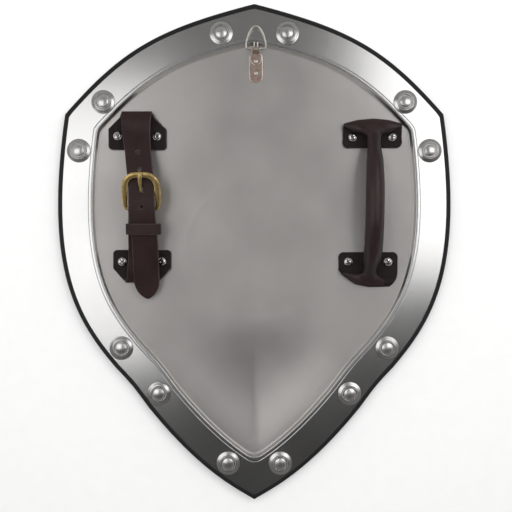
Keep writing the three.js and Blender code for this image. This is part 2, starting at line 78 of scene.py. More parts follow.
# %% Camera, looking straight down on the back
CAMERA_AT = Vector((2.1, -5.4, 918)) * MM
camera_data = bpy.data.cameras.new("camera")
camera_data.lens = 51.4
camera = bpy.data.objects.new("camera", camera_data)
camera.location = CAMERA_AT
bpy.context.scene.collection.objects.link(camera)
bpy.context.scene.camera = camera
bpy.context.scene.view_settings.view_transform = "Standard"
print("camera height:", round(camera.location.z, 3), "m")


# %% Soft boxes
def soft_box(name, centre, size, radiance, mirrored=True):
    """A level light of an even brightness. An unmirrored one lights only matt things."""
    data = bpy.data.lights.new(name, "AREA")
    data.shape = "RECTANGLE"
    data.size, data.size_y = size
    data.energy = radiance * math.pi * size[0] * size[1]
    box = bpy.data.objects.new(name, data)
    box.location = centre
    box.visible_glossy = mirrored
    bpy.context.scene.collection.objects.link(box)


BOX_HEIGHT = 1.3
soft_box("left_soft_box", (-0.8, 0.0975, BOX_HEIGHT), (1.1, 0.855), 1.55)
soft_box("right_soft_box", (0.85, 0.35, BOX_HEIGHT), (1.04, 0.83), 1.95)
soft_box("overhead_box", (0.12, -0.1, BOX_HEIGHT), (0.36, 0.36), 0.36)
soft_box("floor_light", (0.1, 0.5, 2.2), (2.0, 2.0), 3.3, mirrored=False)


# %% Arithmetic on node values, for the room and for every finish
def remap(made, value, low, high, to_low, to_high, kind="LINEAR"):
    """Carry a value from one range to another, held at the ends."""
    node = made.node_tree.nodes.new("ShaderNodeMapRange")
    node.interpolation_type = kind
    made.node_tree.links.new(value, node.inputs["Value"])
    for name, number in (("From Min", low), ("From Max", high), ("To Min", to_low), ("To Max", to_high)):
        node.inputs[name].default_value = number
    return node.outputs["Result"]


def combine(made, first, second=None, operation="ADD"):
    """Arithmetic on one or two values; the second may be a plain number."""
    node = made.node_tree.nodes.new("ShaderNodeMath")
    node.operation = operation
    made.node_tree.links.new(first, node.inputs[0])
    if isinstance(second, (int, float)):
        node.inputs[1].default_value = second
    elif second is not None:
        made.node_tree.links.new(second, node.inputs[1])
    return node.outputs[0]


# %% The room, as a world that is dark overhead and pale towards the horizon
world = bpy.data.worlds.new("studio")
bpy.context.scene.world = world
world.use_nodes = True
room = world.node_tree
axes = room.nodes.new("ShaderNodeSeparateXYZ")
room.links.new(room.nodes.new("ShaderNodeTexCoord").outputs["Generated"], axes.inputs[0])
east, north, sky = axes.outputs


def room_ramp(axis, *ranges):
    """A smooth change of brightness between two values of a direction's X, Y or Z."""
    return remap(world, axis, *ranges, kind="SMOOTHSTEP")


side_walls = room_ramp(combine(world, east, operation="ABSOLUTE"), 0.2, 0.75, 0.26, 1.0)
low_walls = combine(world, room_ramp(sky, 0.05, 0.5, 1.0, 0.0), side_walls, "MULTIPLY")
low_walls = combine(world, low_walls, room_ramp(north, 0.1, 0.7, 1.0, 0.4), "MULTIPLY")
mid_walls = room_ramp(sky, 0.62, 0.9, 0.12, 0.0)
far_wall = room_ramp(north, 0.02, 0.5, 0.05, 0.24)
brightness = combine(world, combine(world, low_walls, mid_walls), far_wall)
background = room.nodes["Background"]
room.links.new(brightness, background.inputs["Strength"])
background.inputs["Color"].default_value = (1, 0.985, 0.965, 1)
print("world:", world.name)

# %% [markdown]
# # Finishes
# Every finish is a Principled shader whose colour, roughness and bump come from patterns on
# Object coordinates, in metres, so they keep their real scale. Small helpers keep each
# finish down to the few lines that say what is particular to it.


# %% Helpers for finishes
def finish(name, colour, metallic, roughness, **sockets):
    """A Principled material: its node tree and shader are reached through its own nodes."""
    made = bpy.data.materials.new(name)
    made.use_nodes = True
    shader = made.node_tree.nodes["Principled BSDF"]
    shader.inputs["Base Color"].default_value = (*colour, 1)
    shader.inputs["Metallic"].default_value = metallic
    shader.inputs["Roughness"].default_value = roughness
    for socket, value in sockets.items():
        shader.inputs[socket.replace("_", " ")].default_value = value
    return made


def pattern(made, scale, stretch=(1, 1, 1), turn=0.0, kind="ShaderNodeTexNoise", **values):
    """A texture on Object coordinates, stretched and turned about Z, scale in cells a metre."""
    tree = made.node_tree
    place = tree.nodes.new("ShaderNodeMapping")
    place.inputs["Scale"].default_value = stretch
    place.inputs["Rotation"].default_value = (0, 0, turn)
    tree.links.new(tree.nodes.new("ShaderNodeTexCoord").outputs["Object"], place.inputs["Vector"])
    texture = tree.nodes.new(kind)
    texture.inputs["Scale"].default_value = scale
    for socket, value in values.items():
        texture.inputs[socket].default_value = value
    tree.links.new(place.outputs["Vector"], texture.inputs["Vector"])
    return texture.outputs[0]


def blend_colour(made, factor, first, second):
    """Mix two colours, each a tuple or another socket."""
    node = made.node_tree.nodes.new("ShaderNodeMix")
    node.data_type = "RGBA"
    made.node_tree.links.new(factor, node.inputs["Factor"])
    for socket, colour in ((node.inputs[6], first), (node.inputs[7], second)):
        if isinstance(colour, tuple):
            socket.default_value = (*colour, 1)
        else:
            made.node_tree.links.new(colour, socket)
    return node.outputs[2]


def dress(made, colour=None, roughness=None, heights=()):
    """Plug patterns into a finish. Heights are (value, depth in metres) pairs, stacked as bumps."""
    tree = made.node_tree
    shader = tree.nodes["Principled BSDF"]
    if colour is not None:
        tree.links.new(colour, shader.inputs["Base Color"])
    if roughness is not None:
        tree.links.new(roughness, shader.inputs["Roughness"])
    normal = None
    for value, depth in heights:
        bump = tree.nodes.new("ShaderNodeBump")
        bump.inputs["Strength"].default_value = 1.0
        bump.inputs["Distance"].default_value = depth
        tree.links.new(value, bump.inputs["Height"])
        if normal is not None:
            tree.links.new(normal, bump.inputs["Normal"])
        normal = bump.outputs["Normal"]
    if normal is not None:
        tree.links.new(normal, shader.inputs["Normal"])
    return made


# %% [markdown]
# # Steel finishes
# The panel was blasted to a satin, the border was left from the polishing wheel, and the
# rivets and screws are bright. All carry fine scratches from handling: noise that is
# stretched a hundredfold in one direction and cut off high, so that only thin lines remain.


# %% Satin, polished and bright steel
SCRATCH_TURNS = (0.5, -0.9, 2.2)


def scratches(made, turn):
    """Thin, sparse lines in one direction, as a value from 0 to 1."""
    lines = pattern(made, 9.0, (1, 110, 1), turn, Detail=3.0, Roughness=0.7)
    return remap(made, lines, 0.66, 0.74, 0.0, 1.0)


def steel_finish(name, colour, roughness, smear, grain_depth, wear=0.06):
    """Cloudy steel: smear is how far the clouds change its roughness, wear what scratches add."""
    made = finish(name, colour, 1.0, roughness)
    clouds = pattern(made, 14, Detail=4.0)
    grain = pattern(made, 2600, Detail=2.0)
    lines, *others = (scratches(made, turn) for turn in SCRATCH_TURNS)
    for other in others:
        lines = combine(made, lines, other, "MAXIMUM")
    darker = tuple(0.92 * c for c in colour)
    tone = blend_colour(made, remap(made, clouds, 0.35, 0.65, 0, 1), darker, colour)
    rough = remap(made, clouds, 0.3, 0.7, roughness - smear, roughness + smear)
    rough = combine(made, rough, combine(made, lines, wear, "MULTIPLY"))
    rough = combine(made, rough, remap(made, grain, 0.3, 0.7, -0.02, 0.02))
    return dress(made, tone, rough, [(grain, grain_depth), (lines, -0.5 * grain_depth)])


satin_steel = steel_finish("satin_steel", (0.625, 0.602, 0.585), 0.35, 0.02, 1e-5)
border_steel = steel_finish("border_steel", (0.68, 0.675, 0.67), 0.22, 0.01, 3e-7, wear=0.02)
washer_steel = steel_finish("washer_steel", (0.64, 0.63, 0.62), 0.27, 0.03, 2e-6)
dome_steel = steel_finish("dome_steel", (0.74, 0.73, 0.72), 0.3, 0.03, 2e-6)
# A dark steel that paints shade in grooves and recesses.
shaded_groove_steel = steel_finish("shaded_groove_steel", (0.2, 0.195, 0.19), 0.4, 0.05, 1e-5)
screw_steel = steel_finish("screw_steel", (0.7, 0.69, 0.66), 0.12, 0.03, 2e-6)
# The nickel of the wire ring and rivets, also laid on the tab's cut edges as a painted highlight.
hanger_nickel = steel_finish("hanger_nickel", (0.86, 0.82, 0.76), 0.36, 0.03, 2e-6)
print("steel finishes:", [m.name for m in bpy.data.materials])


# %% [markdown]
# # Edging, leather, brass and the hanger's plating
# The edging is black rubbery PVC. The leather is drum-dyed dark brown with a tight grain,
# made from small Voronoi cells, and its cut edges are lighter: partly the edge's own tone,
# partly a painted highlight. The brass is a cast buckle, browned in places. The hanger is
# plated sheet that has started to tarnish.

# %% Two tones in soft patches: the edging, the brass and the hanger's plating
def patchy_finish(name, metallic, tones, scale, blend, spread, roughs, bumps, noise, **sockets):
    """Blend and spread are the pattern's values between which the tone and roughness change;
    bumps are the depths of the patches and of a finer grain."""
    made = finish(name, tones[0], metallic, sum(roughs) / 2, **sockets)
    patches = pattern(made, scale, **noise)
    grain = pattern(made, FINE_GRAIN, Detail=3.0)
    tone = blend_colour(made, remap(made, patches, *blend, 0, 1), *tones)
    heights = [(value, depth) for value, depth in zip((patches, grain), bumps) if depth]
    return dress(made, tone, remap(made, patches, *spread, *roughs), heights)


FINE_GRAIN = 1450
edging_black = patchy_finish(
    "edging_black", 0.0, ((0.005, 0.005, 0.006), (0.011, 0.011, 0.012)), 900, (0, 1), (0.3, 0.7),
    (0.44, 0.56), (4e-5, 0), {"Detail": 3.0}, Specular_IOR_Level=0.3,
)
antique_brass = patchy_finish(
    "antique_brass", 1.0, ((0.72, 0.54, 0.23), (0.42, 0.3, 0.115)), 130, (0.4, 0.66), (0.35, 0.7),
    (0.3, 0.42), (4e-5, 2e-5), {"Detail": 5.0, "Roughness": 0.65},
)
tarnished_plate = patchy_finish(
    "tarnished_plate", 1.0, ((0.56, 0.45, 0.39), (0.4, 0.28, 0.23)), 170, (0.4, 0.62), (0.35, 0.65),
    (0.32, 0.44), (0, 3e-5), {"Detail": 4.0, "Roughness": 0.6},
)
print("finishes so far:", len(bpy.data.materials))


# %% Leather, grain side and cut edge
def leather_finish(name, dark, light, roughness, grain_depth, shine=0.26):
    """Tight grain from small cells, broad creases, and darker freckles where it has worn."""
    made = finish(name, dark, 0.0, roughness, Specular_IOR_Level=shine)
    broad = pattern(made, 38, Detail=4.0, Roughness=0.6)
    pores = pattern(made, 1500, kind="ShaderNodeTexVoronoi", Randomness=1.0)
    fine = pattern(made, 3200, Detail=3.0)
    worn = pattern(made, 300, Detail=4.0)
    tone = blend_colour(made, remap(made, broad, 0.35, 0.65, 0, 1), dark, light)
    freckle = tuple(0.72 * c for c in dark)
    tone = blend_colour(made, remap(made, worn, 0.56, 0.7, 0, 0.6), tone, freckle)
    rough = remap(made, combine(made, broad, worn), 0.7, 1.3, roughness - 0.07, roughness + 0.08)
    grain = combine(made, remap(made, pores, 0.0, 0.6, 0, 1), combine(made, fine, 0.4, "MULTIPLY"))
    return dress(made, tone, rough, [(broad, 0.0006), (grain, grain_depth)])


brown_leather = leather_finish(
    "brown_leather", (0.0145, 0.0072, 0.0068), (0.0215, 0.0108, 0.01), 0.46, 6e-5
)
# The cut edge's lighter tone is partly its own and partly a painted highlight.
cut_leather = leather_finish("cut_leather", (0.05, 0.034, 0.029), (0.085, 0.062, 0.054), 0.6, 1e-4)
# The flesh side, which faces up on the folded pads; its darker tone is partly its own and partly painted
# shade.
shaded_flesh_leather = leather_finish(
    "shaded_flesh_leather", (0.0075, 0.0052, 0.0046), (0.011, 0.0078, 0.007), 0.62, 1.2e-4
)
grip_leather = leather_finish(
    "grip_leather", (0.013, 0.0065, 0.0061), (0.019, 0.0096, 0.0089), 0.38, 4e-5, shine=0.38
)
# The flesh face is darker, partly painted shade; the cut edge is lighter, partly painted highlight.
STRAP_FINISHES = [shaded_flesh_leather, cut_leather, brown_leather]  # one face, the cut edge, the other face
print("leather finishes:", [m.name for m in STRAP_FINISHES])

# %% [markdown]
# # Helpers for shapes
# Three ways of making cover the whole shield. A turned piece is a profile spun round Z. A
# lofted piece starts as a ring of edges that is extruded from one section to the next. A
# leather or sheet-metal piece is cut flat as a grid, punched, bent to its place and only
# then given its thickness, as a maker would.


# %% Rings and lofts
def ring(bm, points):
    """A closed ring of edges through the points."""
    verts = [bm.verts.new(p) for p in points]
    for pair in zip(verts, verts[1:] + verts[:1]):
        bm.edges.new(pair)
    return verts


def ring_edges(bm, verts):
    return [bm.edges.get(pair) for pair in zip(verts, verts[1:] + verts[:1])]


def extruded_ring(bm, verts, edges, material=0):
    """Extrude edges, and give each vertex's new copy."""
    made = bmesh.ops.extrude_edge_only(bm, edges=edges)["geom"]
    fresh = {g for g in made if isinstance(g, bmesh.types.BMVert)}
    for face in (g for g in made if isinstance(g, bmesh.types.BMFace)):
        face.material_index = material
    return {v: next(e.other_vert(v) for e in v.link_edges if e.other_vert(v) in fresh) for v in verts}


def next_ring(bm, verts, points, material=0):
    """Extrude a whole ring and move it to the next section's points."""
    partner = extruded_ring(bm, verts, ring_edges(bm, verts), material)
    follow = [partner[v] for v in verts]
    for v, p in zip(follow, points):
        v.co = p
    return follow


def loft(rings, closed=False, materials=None):
    """A body through rings of the same count; closed joins the last ring to the first."""
    bm = bmesh.new()
    current = ring(bm, rings[0])
    onward = rings[1:] + (rings[:1] if closed else [])
    for i, points in enumerate(onward):
        current = next_ring(bm, current, points, materials[i] if materials else 0)
    if closed:
        bmesh.ops.remove_doubles(bm, verts=bm.verts, dist=1e-7)
    else:
        bmesh.ops.holes_fill(bm, edges=[e for e in bm.edges if e.is_boundary], sides=0)
    bmesh.ops.recalc_face_normals(bm, faces=bm.faces)
    return bm


# %% Turned pieces
def arc(centre_r, centre_z, radius, start, end, steps=6):
    """Profile points along an arc, with angles in degrees from the outward direction."""
    angles = np.radians(np.linspace(start, end, steps + 1))
    return [(centre_r + radius * math.cos(a), centre_z + radius * math.sin(a)) for a in angles]


def turned(profile, steps=72, dark=()):
    """A profile of (radius, height) in millimetres spun round Z. Faces of the upper side
    between the radii of a dark band take the second material, a darker steel painted as shade."""
    bm = bmesh.new()
    verts = [bm.verts.new((r * MM, 0, z * MM)) for r, z in profile]
    edges = [bm.edges.new(pair) for pair in zip(verts, verts[1:])]
    full_turn = {"axis": (0, 0, 1), "angle": 2 * math.pi, "steps": steps, "use_merge": True}
    bmesh.ops.spin(bm, geom=verts + edges, cent=(0, 0, 0), **full_turn)
    bmesh.ops.remove_doubles(bm, verts=bm.verts, dist=1e-6)
    bmesh.ops.recalc_face_normals(bm, faces=bm.faces)
    for face in bm.faces:
        radius = face.calc_center_median().xy.length / MM
        if face.normal.z > -0.1 and any(low < radius < high for low, high in dark):
            face.material_index = 1
    return bm


# %% Sheets: cut flat, punched, bent, thickened
def flat_sheet(length, left, right, columns, pitch):
    """A grid from y = 0 to its length, whose half widths on each side are functions of y."""
    bm = bmesh.new()
    bmesh.ops.create_grid(bm, x_segments=columns, y_segments=round(length / pitch), size=1)
    for v in bm.verts:
        y = (v.co.y + 1) / 2 * length
        v.co = (v.co.x * (left(y) if v.co.x < 0 else right(y)), y, 0)
    return bm


def punch(bm, at, radius, reach=0.0):
    """Cut a round hole, or one drawn out along Y by its reach each way, through a flat sheet."""

    def from_middle(point):
        return Vector((point.x - at[0], point.y - min(max(point.y, at[1] - reach), at[1] + reach)))

    inside = [f for f in bm.faces if from_middle(f.calc_center_median()).length < radius]
    rim = {v for f in inside for v in f.verts}
    bmesh.ops.delete(bm, geom=inside, context="FACES")
    for v in (v for v in rim if v.is_valid):
        away = from_middle(v.co)
        v.co.xy += away.normalized() * (radius - away.length)


def bend(bm, place):
    for v in bm.verts:
        v.co = place(v.co.x, v.co.y)


def thicken(bm, thickness, edge, steps=5, under=2):
    """Give a bent sheet its thickness, with its cut edges rounded out by the edge distance.
    The cut edge takes the second material, and the under side the one that is named."""
    bm.normal_update()
    half = thickness / 2
    normal = {v: v.normal.copy() for v in bm.verts}
    rim = [e for e in bm.edges if e.is_boundary]
    outward = {v: Vector() for e in rim for v in e.verts}
    for e in rim:
        face = e.link_faces[0]
        away = (e.verts[0].co + e.verts[1].co) / 2 - face.calc_center_median()
        along = (e.verts[1].co - e.verts[0].co).normalized()
        away -= along * away.dot(along)
        for v in e.verts:
            outward[v] += away.normalized()
    for v in outward:
        outward[v] = (outward[v] - normal[v] * outward[v].dot(normal[v])).normalized()
    middle = {v: v.co.copy() for v in bm.verts}
    copied = bmesh.ops.duplicate(bm, geom=bm.verts[:] + bm.edges[:] + bm.faces[:])
    twin = {v: copied["vert_map"][v] for v in middle}
    under_faces = [g for g in copied["geom"] if isinstance(g, bmesh.types.BMFace)]
    bmesh.ops.reverse_faces(bm, faces=under_faces)
    for face in under_faces:
        face.material_index = under
    for v, centre in middle.items():
        v.co = centre + normal[v] * half
        twin[v].co = centre - normal[v] * half
    current = {v: v for v in outward}
    edges = rim
    for step in range(1, steps + 1):
        angle = math.pi * (0.5 - step / steps)
        pairs = [tuple(e.verts) for e in edges]
        partner = extruded_ring(bm, set(current.values()), edges, material=1)
        current = {v: partner[w] for v, w in current.items()}
        for v, w in current.items():
            w.co = middle[v] + normal[v] * half * math.sin(angle) + outward[v] * edge * math.cos(angle)
        edges = [bm.edges.get((partner[a], partner[b])) for a, b in pairs]
    bmesh.ops.weld_verts(bm, targetmap={w: twin[v] for v, w in current.items()})
    bmesh.ops.recalc_face_normals(bm, faces=bm.faces)


# %% Smooth lines through knots
def measured(rows):
    """Rows that start with x, y, z, with the length so far put in front of them."""
    steps = np.linalg.norm(np.diff(rows[:, :3], axis=0), axis=1)
    return np.column_stack([np.concatenate([[0], np.cumsum(steps)]), rows])


def smooth_line(knots, spacing):
    """Rows at an even spacing on a smooth curve through knots that start with x, y, z."""
    rows = np.array(knots, float)
    gaps = np.linalg.norm(np.diff(rows[:, :3], axis=0), axis=1)
    slopes = np.diff(rows, axis=0) / gaps[:, None]
    weights = (gaps[:-1] + gaps[1:])[:, None]
    inner = (slopes[:-1] * gaps[1:, None] + slopes[1:] * gaps[:-1, None]) / weights
    tangents = np.vstack([slopes[:1], inner, slopes[-1:]])
    t = np.linspace(0, 1, 24, endpoint=False)[:, None]
    fine = [
        (1 + 2 * t) * (1 - t) ** 2 * rows[i]
        + t * (1 - t) ** 2 * gap * tangents[i]
        + t * t * (3 - 2 * t) * rows[i + 1]
        + t * t * (t - 1) * gap * tangents[i + 1]
        for i, gap in enumerate(gaps)
    ]
    fine = measured(np.vstack([*fine, rows[-1:]]))
    length = fine[-1, 0]
    even = np.linspace(0, length, max(2, round(length / spacing) + 1))
    return np.column_stack([np.interp(even, fine[:, 0], column) for column in fine.T])


def line_at(line, run):
    """The row of numbers at a length along a line."""
    return [np.interp(run, line[:, 0], column) for column in line.T[1:]]


def directions(points):
    """Unit vectors along a line through points."""
    steps = np.gradient(points, axis=0)
    return steps / np.linalg.norm(steps, axis=1)[:, None]


def round_bar(bar, reach, angles):
    """Points round a bar that runs along X, at angles in degrees from the Y direction."""
    x, y, z = bar
    return [(x, y + reach * math.cos(a), z + reach * math.sin(a)) for a in np.radians(angles)]


# %% Sections that are flattened rounds
def turns(count):
    return [2 * math.pi * k / count for k in range(count)]


def flat_round(turn, across, rise, across_power, rise_power):
    """A point of an ellipse that is fuller the lower its powers are below 1."""
    cos, sin = math.cos(turn), math.sin(turn)
    u = across * math.copysign(abs(cos) ** across_power, cos)
    return u, rise * math.copysign(abs(sin) ** rise_power, sin)


# %% Turning a bmesh into an object, and into a piece of the shield
def new_object(bm, name, materials, sharp=40):
    """Write the mesh at its own place, in its finishes; edges above the sharp angle stay sharp."""
    mesh = bpy.data.meshes.new(name)
    bm.to_mesh(mesh)
    bm.free()
    for made in materials:
        mesh.materials.append(made)
    mesh.shade_smooth()
    mesh.set_sharp_from_angle(angle=math.radians(sharp))
    made_object = bpy.data.objects.new(name, mesh)
    bpy.context.scene.collection.objects.link(made_object)
    return made_object


def make_piece(bm, name, nodes, materials, body="shield", sharp=40):
    """A piece that rides on its body and stands for its CAD nodes."""
    piece = new_object(bm, name, materials, sharp)
    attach(piece, body)
    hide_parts(*nodes)
    return piece


def centre_of(node):
    low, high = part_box(node)
    return (low + high) / 2


# %% [markdown]
# # The pressed plate
# A real one is a single sheet, cut to the outline and pressed in a die: the border stays
# flat up to a thin crease and a ledge, a sharp step goes down, and the panel is dished to a
# nearly flat disc, with a soft valley from the disc to the tip. Here one ring of edges
# follows the outline and is extruded inwards. Each ring's place comes from its distance to
# the edge, and on the panel from its share of the way to the disc.

# %% The outline: four cubic curves down the right side, mirrored to the left
CURVES = (
    ((0, 305), (118, 274.5), (162, 250.5), (233, 169)),
    ((233, 169), (259.5, -20), (222, -83), (170, -143.5)),
    ((170, -143.5), (148, -166.5), (148.5, -167), (129.5, -192.5)),
    ((129.5, -192.5), (64.5, -272.5), (22, -291.5), (0, -305)),
)
CURVE_STEPS = (44, 52, 10, 28)


def curve_points(curve, steps):
    return np.array([tuple(p) for p in interpolate_bezier(*[Vector(p) for p in curve], steps + 1)])


half_parts = [curve_points(c, n) for c, n in zip(CURVES, CURVE_STEPS)]
top_edge = half_parts[0]
side_edge = np.vstack([half_parts[1], half_parts[2][1:], half_parts[3][1:]])
half_outline = np.vstack([top_edge, side_edge[1:]])
print("outline points on one side:", len(half_outline), "size:", np.ptp(half_outline, axis=0))

# %% Lines at a distance in from the outline
CORNER_SOFTNESS = 0.04
TIP_SOFTNESS = 0.25
APEX_WIDTH, APEX_DROP = 1.85, 0.07  # each for a millimetre of distance in


def distance_to(points, line):
    start, along = line[:-1], np.diff(line, axis=0)
    share = ((points[:, None] - start) * along).sum(-1) / (along**2).sum(-1)
    nearest = start + np.clip(share, 0, 1)[..., None] * along
    return np.linalg.norm(points[:, None] - nearest, axis=-1).min(1)


def soft_min(a, b, width, drop=None):
    share = np.maximum(width - np.abs(a - b), 0) / width
    return np.minimum(a, b) - share**2 * (width / 4 if drop is None else drop)


def depth_of(points, distance):
    """How far points lie in from the outline, with the corners rounded for that distance."""
    mirrored = points * (-1, 1)
    corner, tip = CORNER_SOFTNESS * distance, TIP_SOFTNESS * distance
    apex = (APEX_WIDTH * distance, APEX_DROP * distance)
    top = soft_min(distance_to(points, top_edge), distance_to(mirrored, top_edge), *apex)
    side = soft_min(distance_to(points, side_edge), distance_to(mirrored, side_edge), tip)
    return soft_min(top, side, corner)


def inset_loop(distance):
    """The whole loop at a distance in, on the rays from the middle to the outline's points."""
    low, high = np.zeros(len(half_outline)), np.full(len(half_outline), 0.6)
    for _ in range(26):
        share = (low + high) / 2
        reached = depth_of(half_outline * (1 - share)[:, None], distance) >= distance
        low, high = np.where(reached, low, share), np.where(reached, share, high)
    right = half_outline * (1 - high)[:, None]
    return np.vstack([right, right[-2:0:-1] * (-1, 1)])


# %% Heights of the panel
PLATE = 1.2
DISH, DISH_CURVE = 12, 1.3
DISC_R, DISC_BOWL, DISC_SOFTNESS = 87, 2.0, 12
RING_LIFT, RING_SHARE = 0.5, 0.1  # extra rise just outside the disc
KEEL_DEPTH, KEEL_SPREAD = 4.2, 52  # the valley to the tip, and its half angle in degrees
BORDER, STEP_RUN, STEP_DROP = 39, 4.5, 4.5
BORDER_BACK = PLATE + DISH + STEP_DROP

panel_edge = inset_loop(BORDER + STEP_RUN)
edge_angle = np.arctan2(panel_edge[:, 1], panel_edge[:, 0])
edge_reach = np.linalg.norm(panel_edge, axis=1)


def panel_share(x, y):
    """0 at the disc's rim and 1 at the panel's edge, eased where the disc begins."""
    radius = np.hypot(x, y)
    reach = np.interp(np.arctan2(y, x), *angle_table, period=2 * np.pi)
    past = radius - DISC_R
    eased = np.where(past < DISC_SOFTNESS, (past + DISC_SOFTNESS) ** 2 / (4 * DISC_SOFTNESS), past)
    eased = np.where(past < -DISC_SOFTNESS, 0, eased)
    return np.clip(eased / (reach - DISC_R), 0, 1)


angle_table = (edge_angle[np.argsort(edge_angle)], edge_reach[np.argsort(edge_angle)])


def panel_back(x, y):
    """Height of the panel's upper side in millimetres."""
    share = panel_share(x, y)
    bowl = DISC_BOWL * np.minimum(np.hypot(x, y) / DISC_R, 1) ** 2
    ring_lift = RING_LIFT * (1 - np.exp(-share / RING_SHARE))
    dish = (DISH - RING_LIFT - DISC_BOWL) * share**DISH_CURVE
    off_keel = np.degrees(np.arctan2(np.abs(x), -y)) / KEEL_SPREAD
    keel = KEEL_DEPTH * np.sin(np.pi * share) ** 1.5 * np.maximum(0, 1 - off_keel) ** 1.3
    return PLATE + bowl + ring_lift + dish - keel


print("panel height at the disc and the edge:", panel_back(0, 0), panel_back(*panel_edge[0]))

# %% Extrude the plate's rings inwards
EDGE_GAP = 1.8  # the edging's web lies outside the plate's edge
STEP_PROFILE = (  # distance in from the outline and height above the border
    (EDGE_GAP, 0), (2.2, 0), (3.2, 0), (20, 0), (36.0, 0), (36.7, 0), (37.0, -0.02), (37.3, -0.1),
    (37.6, -0.22), (37.9, -0.22), (38.2, -0.12), (38.5, -0.1), (39.1, -0.12), (41.3, -0.2), (41.6, -0.27),
    (41.85, -0.42), (42.05, -0.68), (42.25, -1.02), (42.5, -1.48), (42.75, -1.95), (43.0, -2.4),
    (43.25, -2.8), (43.5, -3.16),
)
EDGE_ROLL = 0.0125  # the share of the panel over which its edge rolls up to the step
BORDER_RINGS = 18  # rings that have the border's finish, down to the middle of the step
SHARE_RUNS = ((1, 0.9875, 6), (0.975, 0.9, 4), (0.87, 0.12, 20), (0.1, 0, 5))
PANEL_SHARES = np.concatenate([np.linspace(*run) for run in SHARE_RUNS])
DISC_RINGS = (84, 80, 76, 72, 60, 40, 20)


def level_ring(loop, z):
    return [Vector((x, y, z)) * MM for x, y in loop]


def panel_ring(share):
    towards = panel_edge / edge_reach[:, None] * DISC_R
    places = towards + (panel_edge - towards) * share
    lift = (STEP_DROP + STEP_PROFILE[-1][1]) * max(0, 1 - (1 - share) / EDGE_ROLL) ** 2
    return [Vector((x, y, panel_back(x, y) + lift)) * MM for x, y in places]


def disc_ring(radius):
    places = panel_edge / edge_reach[:, None] * radius
    return [Vector((x, y, panel_back(x, y))) * MM for x, y in places]


plate_rings = [level_ring(inset_loop(d), BORDER_BACK + z) for d, z in STEP_PROFILE]
plate_rings += [panel_ring(share) for share in PANEL_SHARES[1:]]
plate_rings += [disc_ring(radius) for radius in DISC_RINGS]

plate = bmesh.new()
current = ring(plate, plate_rings[0])
for i, points in enumerate(plate_rings[1:]):
    current = next_ring(plate, current, points, 1 if i < BORDER_RINGS else 0)
bmesh.ops.contextual_create(plate, geom=ring_edges(plate, current))
bmesh.ops.recalc_face_normals(plate, faces=plate.faces)
if sum(f.normal.z for f in plate.faces) < 0:
    bmesh.ops.reverse_faces(plate, faces=plate.faces)
print("plate faces before its thickness:", len(plate.faces))

# %% Give the sheet its thickness and place it
pressed_plate = make_piece(
    plate, "pressed_plate", ["shield_plate"], [satin_steel, border_steel], sharp=50
)
sheet = pressed_plate.modifiers.new("sheet", "SOLIDIFY")
sheet.thickness = PLATE * MM
sheet.offset = -1
sheet.use_even_offset = True
sheet.use_quality_normals = True

# %% [markdown]
# # The edging
# A soft U-section, pushed over the sheet's rim and glued. Its two legs are rounded, and a
# faint moulding line runs along it. Loops at set distances in from the outline give the
# section's points, so one ring is extruded all the way round the section and back.

# %% Loft the edging round its section
TRIM_TOP = BORDER_BACK + 1.6
TRIM_UNDER = BORDER_BACK - PLATE - 1.6
TRIM_REACH = 5.1
WEB_ROUND = 1.7
SLOT_TOP, SLOT_LOW, SLOT_END = BORDER_BACK + 0.05, BORDER_BACK - PLATE - 0.05, EDGE_GAP - 0.2

upper_web = [(WEB_ROUND - dr, dz) for dr, dz in arc(0, TRIM_TOP - WEB_ROUND, WEB_ROUND, 90, 0, 5)]
under_web = [(WEB_ROUND - dr, dz) for dr, dz in arc(0, TRIM_UNDER + WEB_ROUND, WEB_ROUND, 0, -90, 5)]
trim_section = [
    (TRIM_REACH, SLOT_TOP), (TRIM_REACH, TRIM_TOP - 0.75), (TRIM_REACH - 0.2, TRIM_TOP - 0.35),
    (TRIM_REACH - 0.7, TRIM_TOP - 0.08), (3.2, TRIM_TOP), (2.75, TRIM_TOP - 0.04), (2.55, TRIM_TOP - 0.22),
    (2.35, TRIM_TOP - 0.04), *upper_web, *under_web, (3.6, TRIM_UNDER),
    (TRIM_REACH - 0.4, TRIM_UNDER + 0.12), (TRIM_REACH, TRIM_UNDER + 0.6), (TRIM_REACH, SLOT_LOW),
    (SLOT_END, SLOT_LOW), (SLOT_END, SLOT_TOP),
]
edging = loft([level_ring(inset_loop(max(d, 0.001)), z) for d, z in trim_section], closed=True)
print("edging faces:", len(edging.faces))
make_piece(edging, "rim_edging", ["edge_trim"], [edging_black], sharp=60)

# %% [markdown]
# # Rivets and their washers
# Each rim rivet is a domed head on a stepped, cone-shaped washer, and has a plain low head
# on the face. A turner's profile spun round the axis gives both. The groove round the dome,
# a dip on the washer's cone and the washer's outer lip take a darker steel: painted shade.

# %% Turn one washer and one rivet, then place twelve of each
washer_profile = [
    (3.3, 0), (14.3, 0), (14.5, 0.2), (14.5, 0.75), *arc(14.1, 0.75, 0.4, 20, 80, 3),
    (13.2, 1.42), (12.2, 1.86), (11.2, 2.25), (10.3, 2.58), (9.9, 2.66), (9.7, 2.6), (9.45, 2.75),
    (9.3, 2.95), *arc(8.6, 2.95, 0.6, 30, 165, 6), (7.75, 2.6), (3.3, 2.6), (3.3, 0),
]
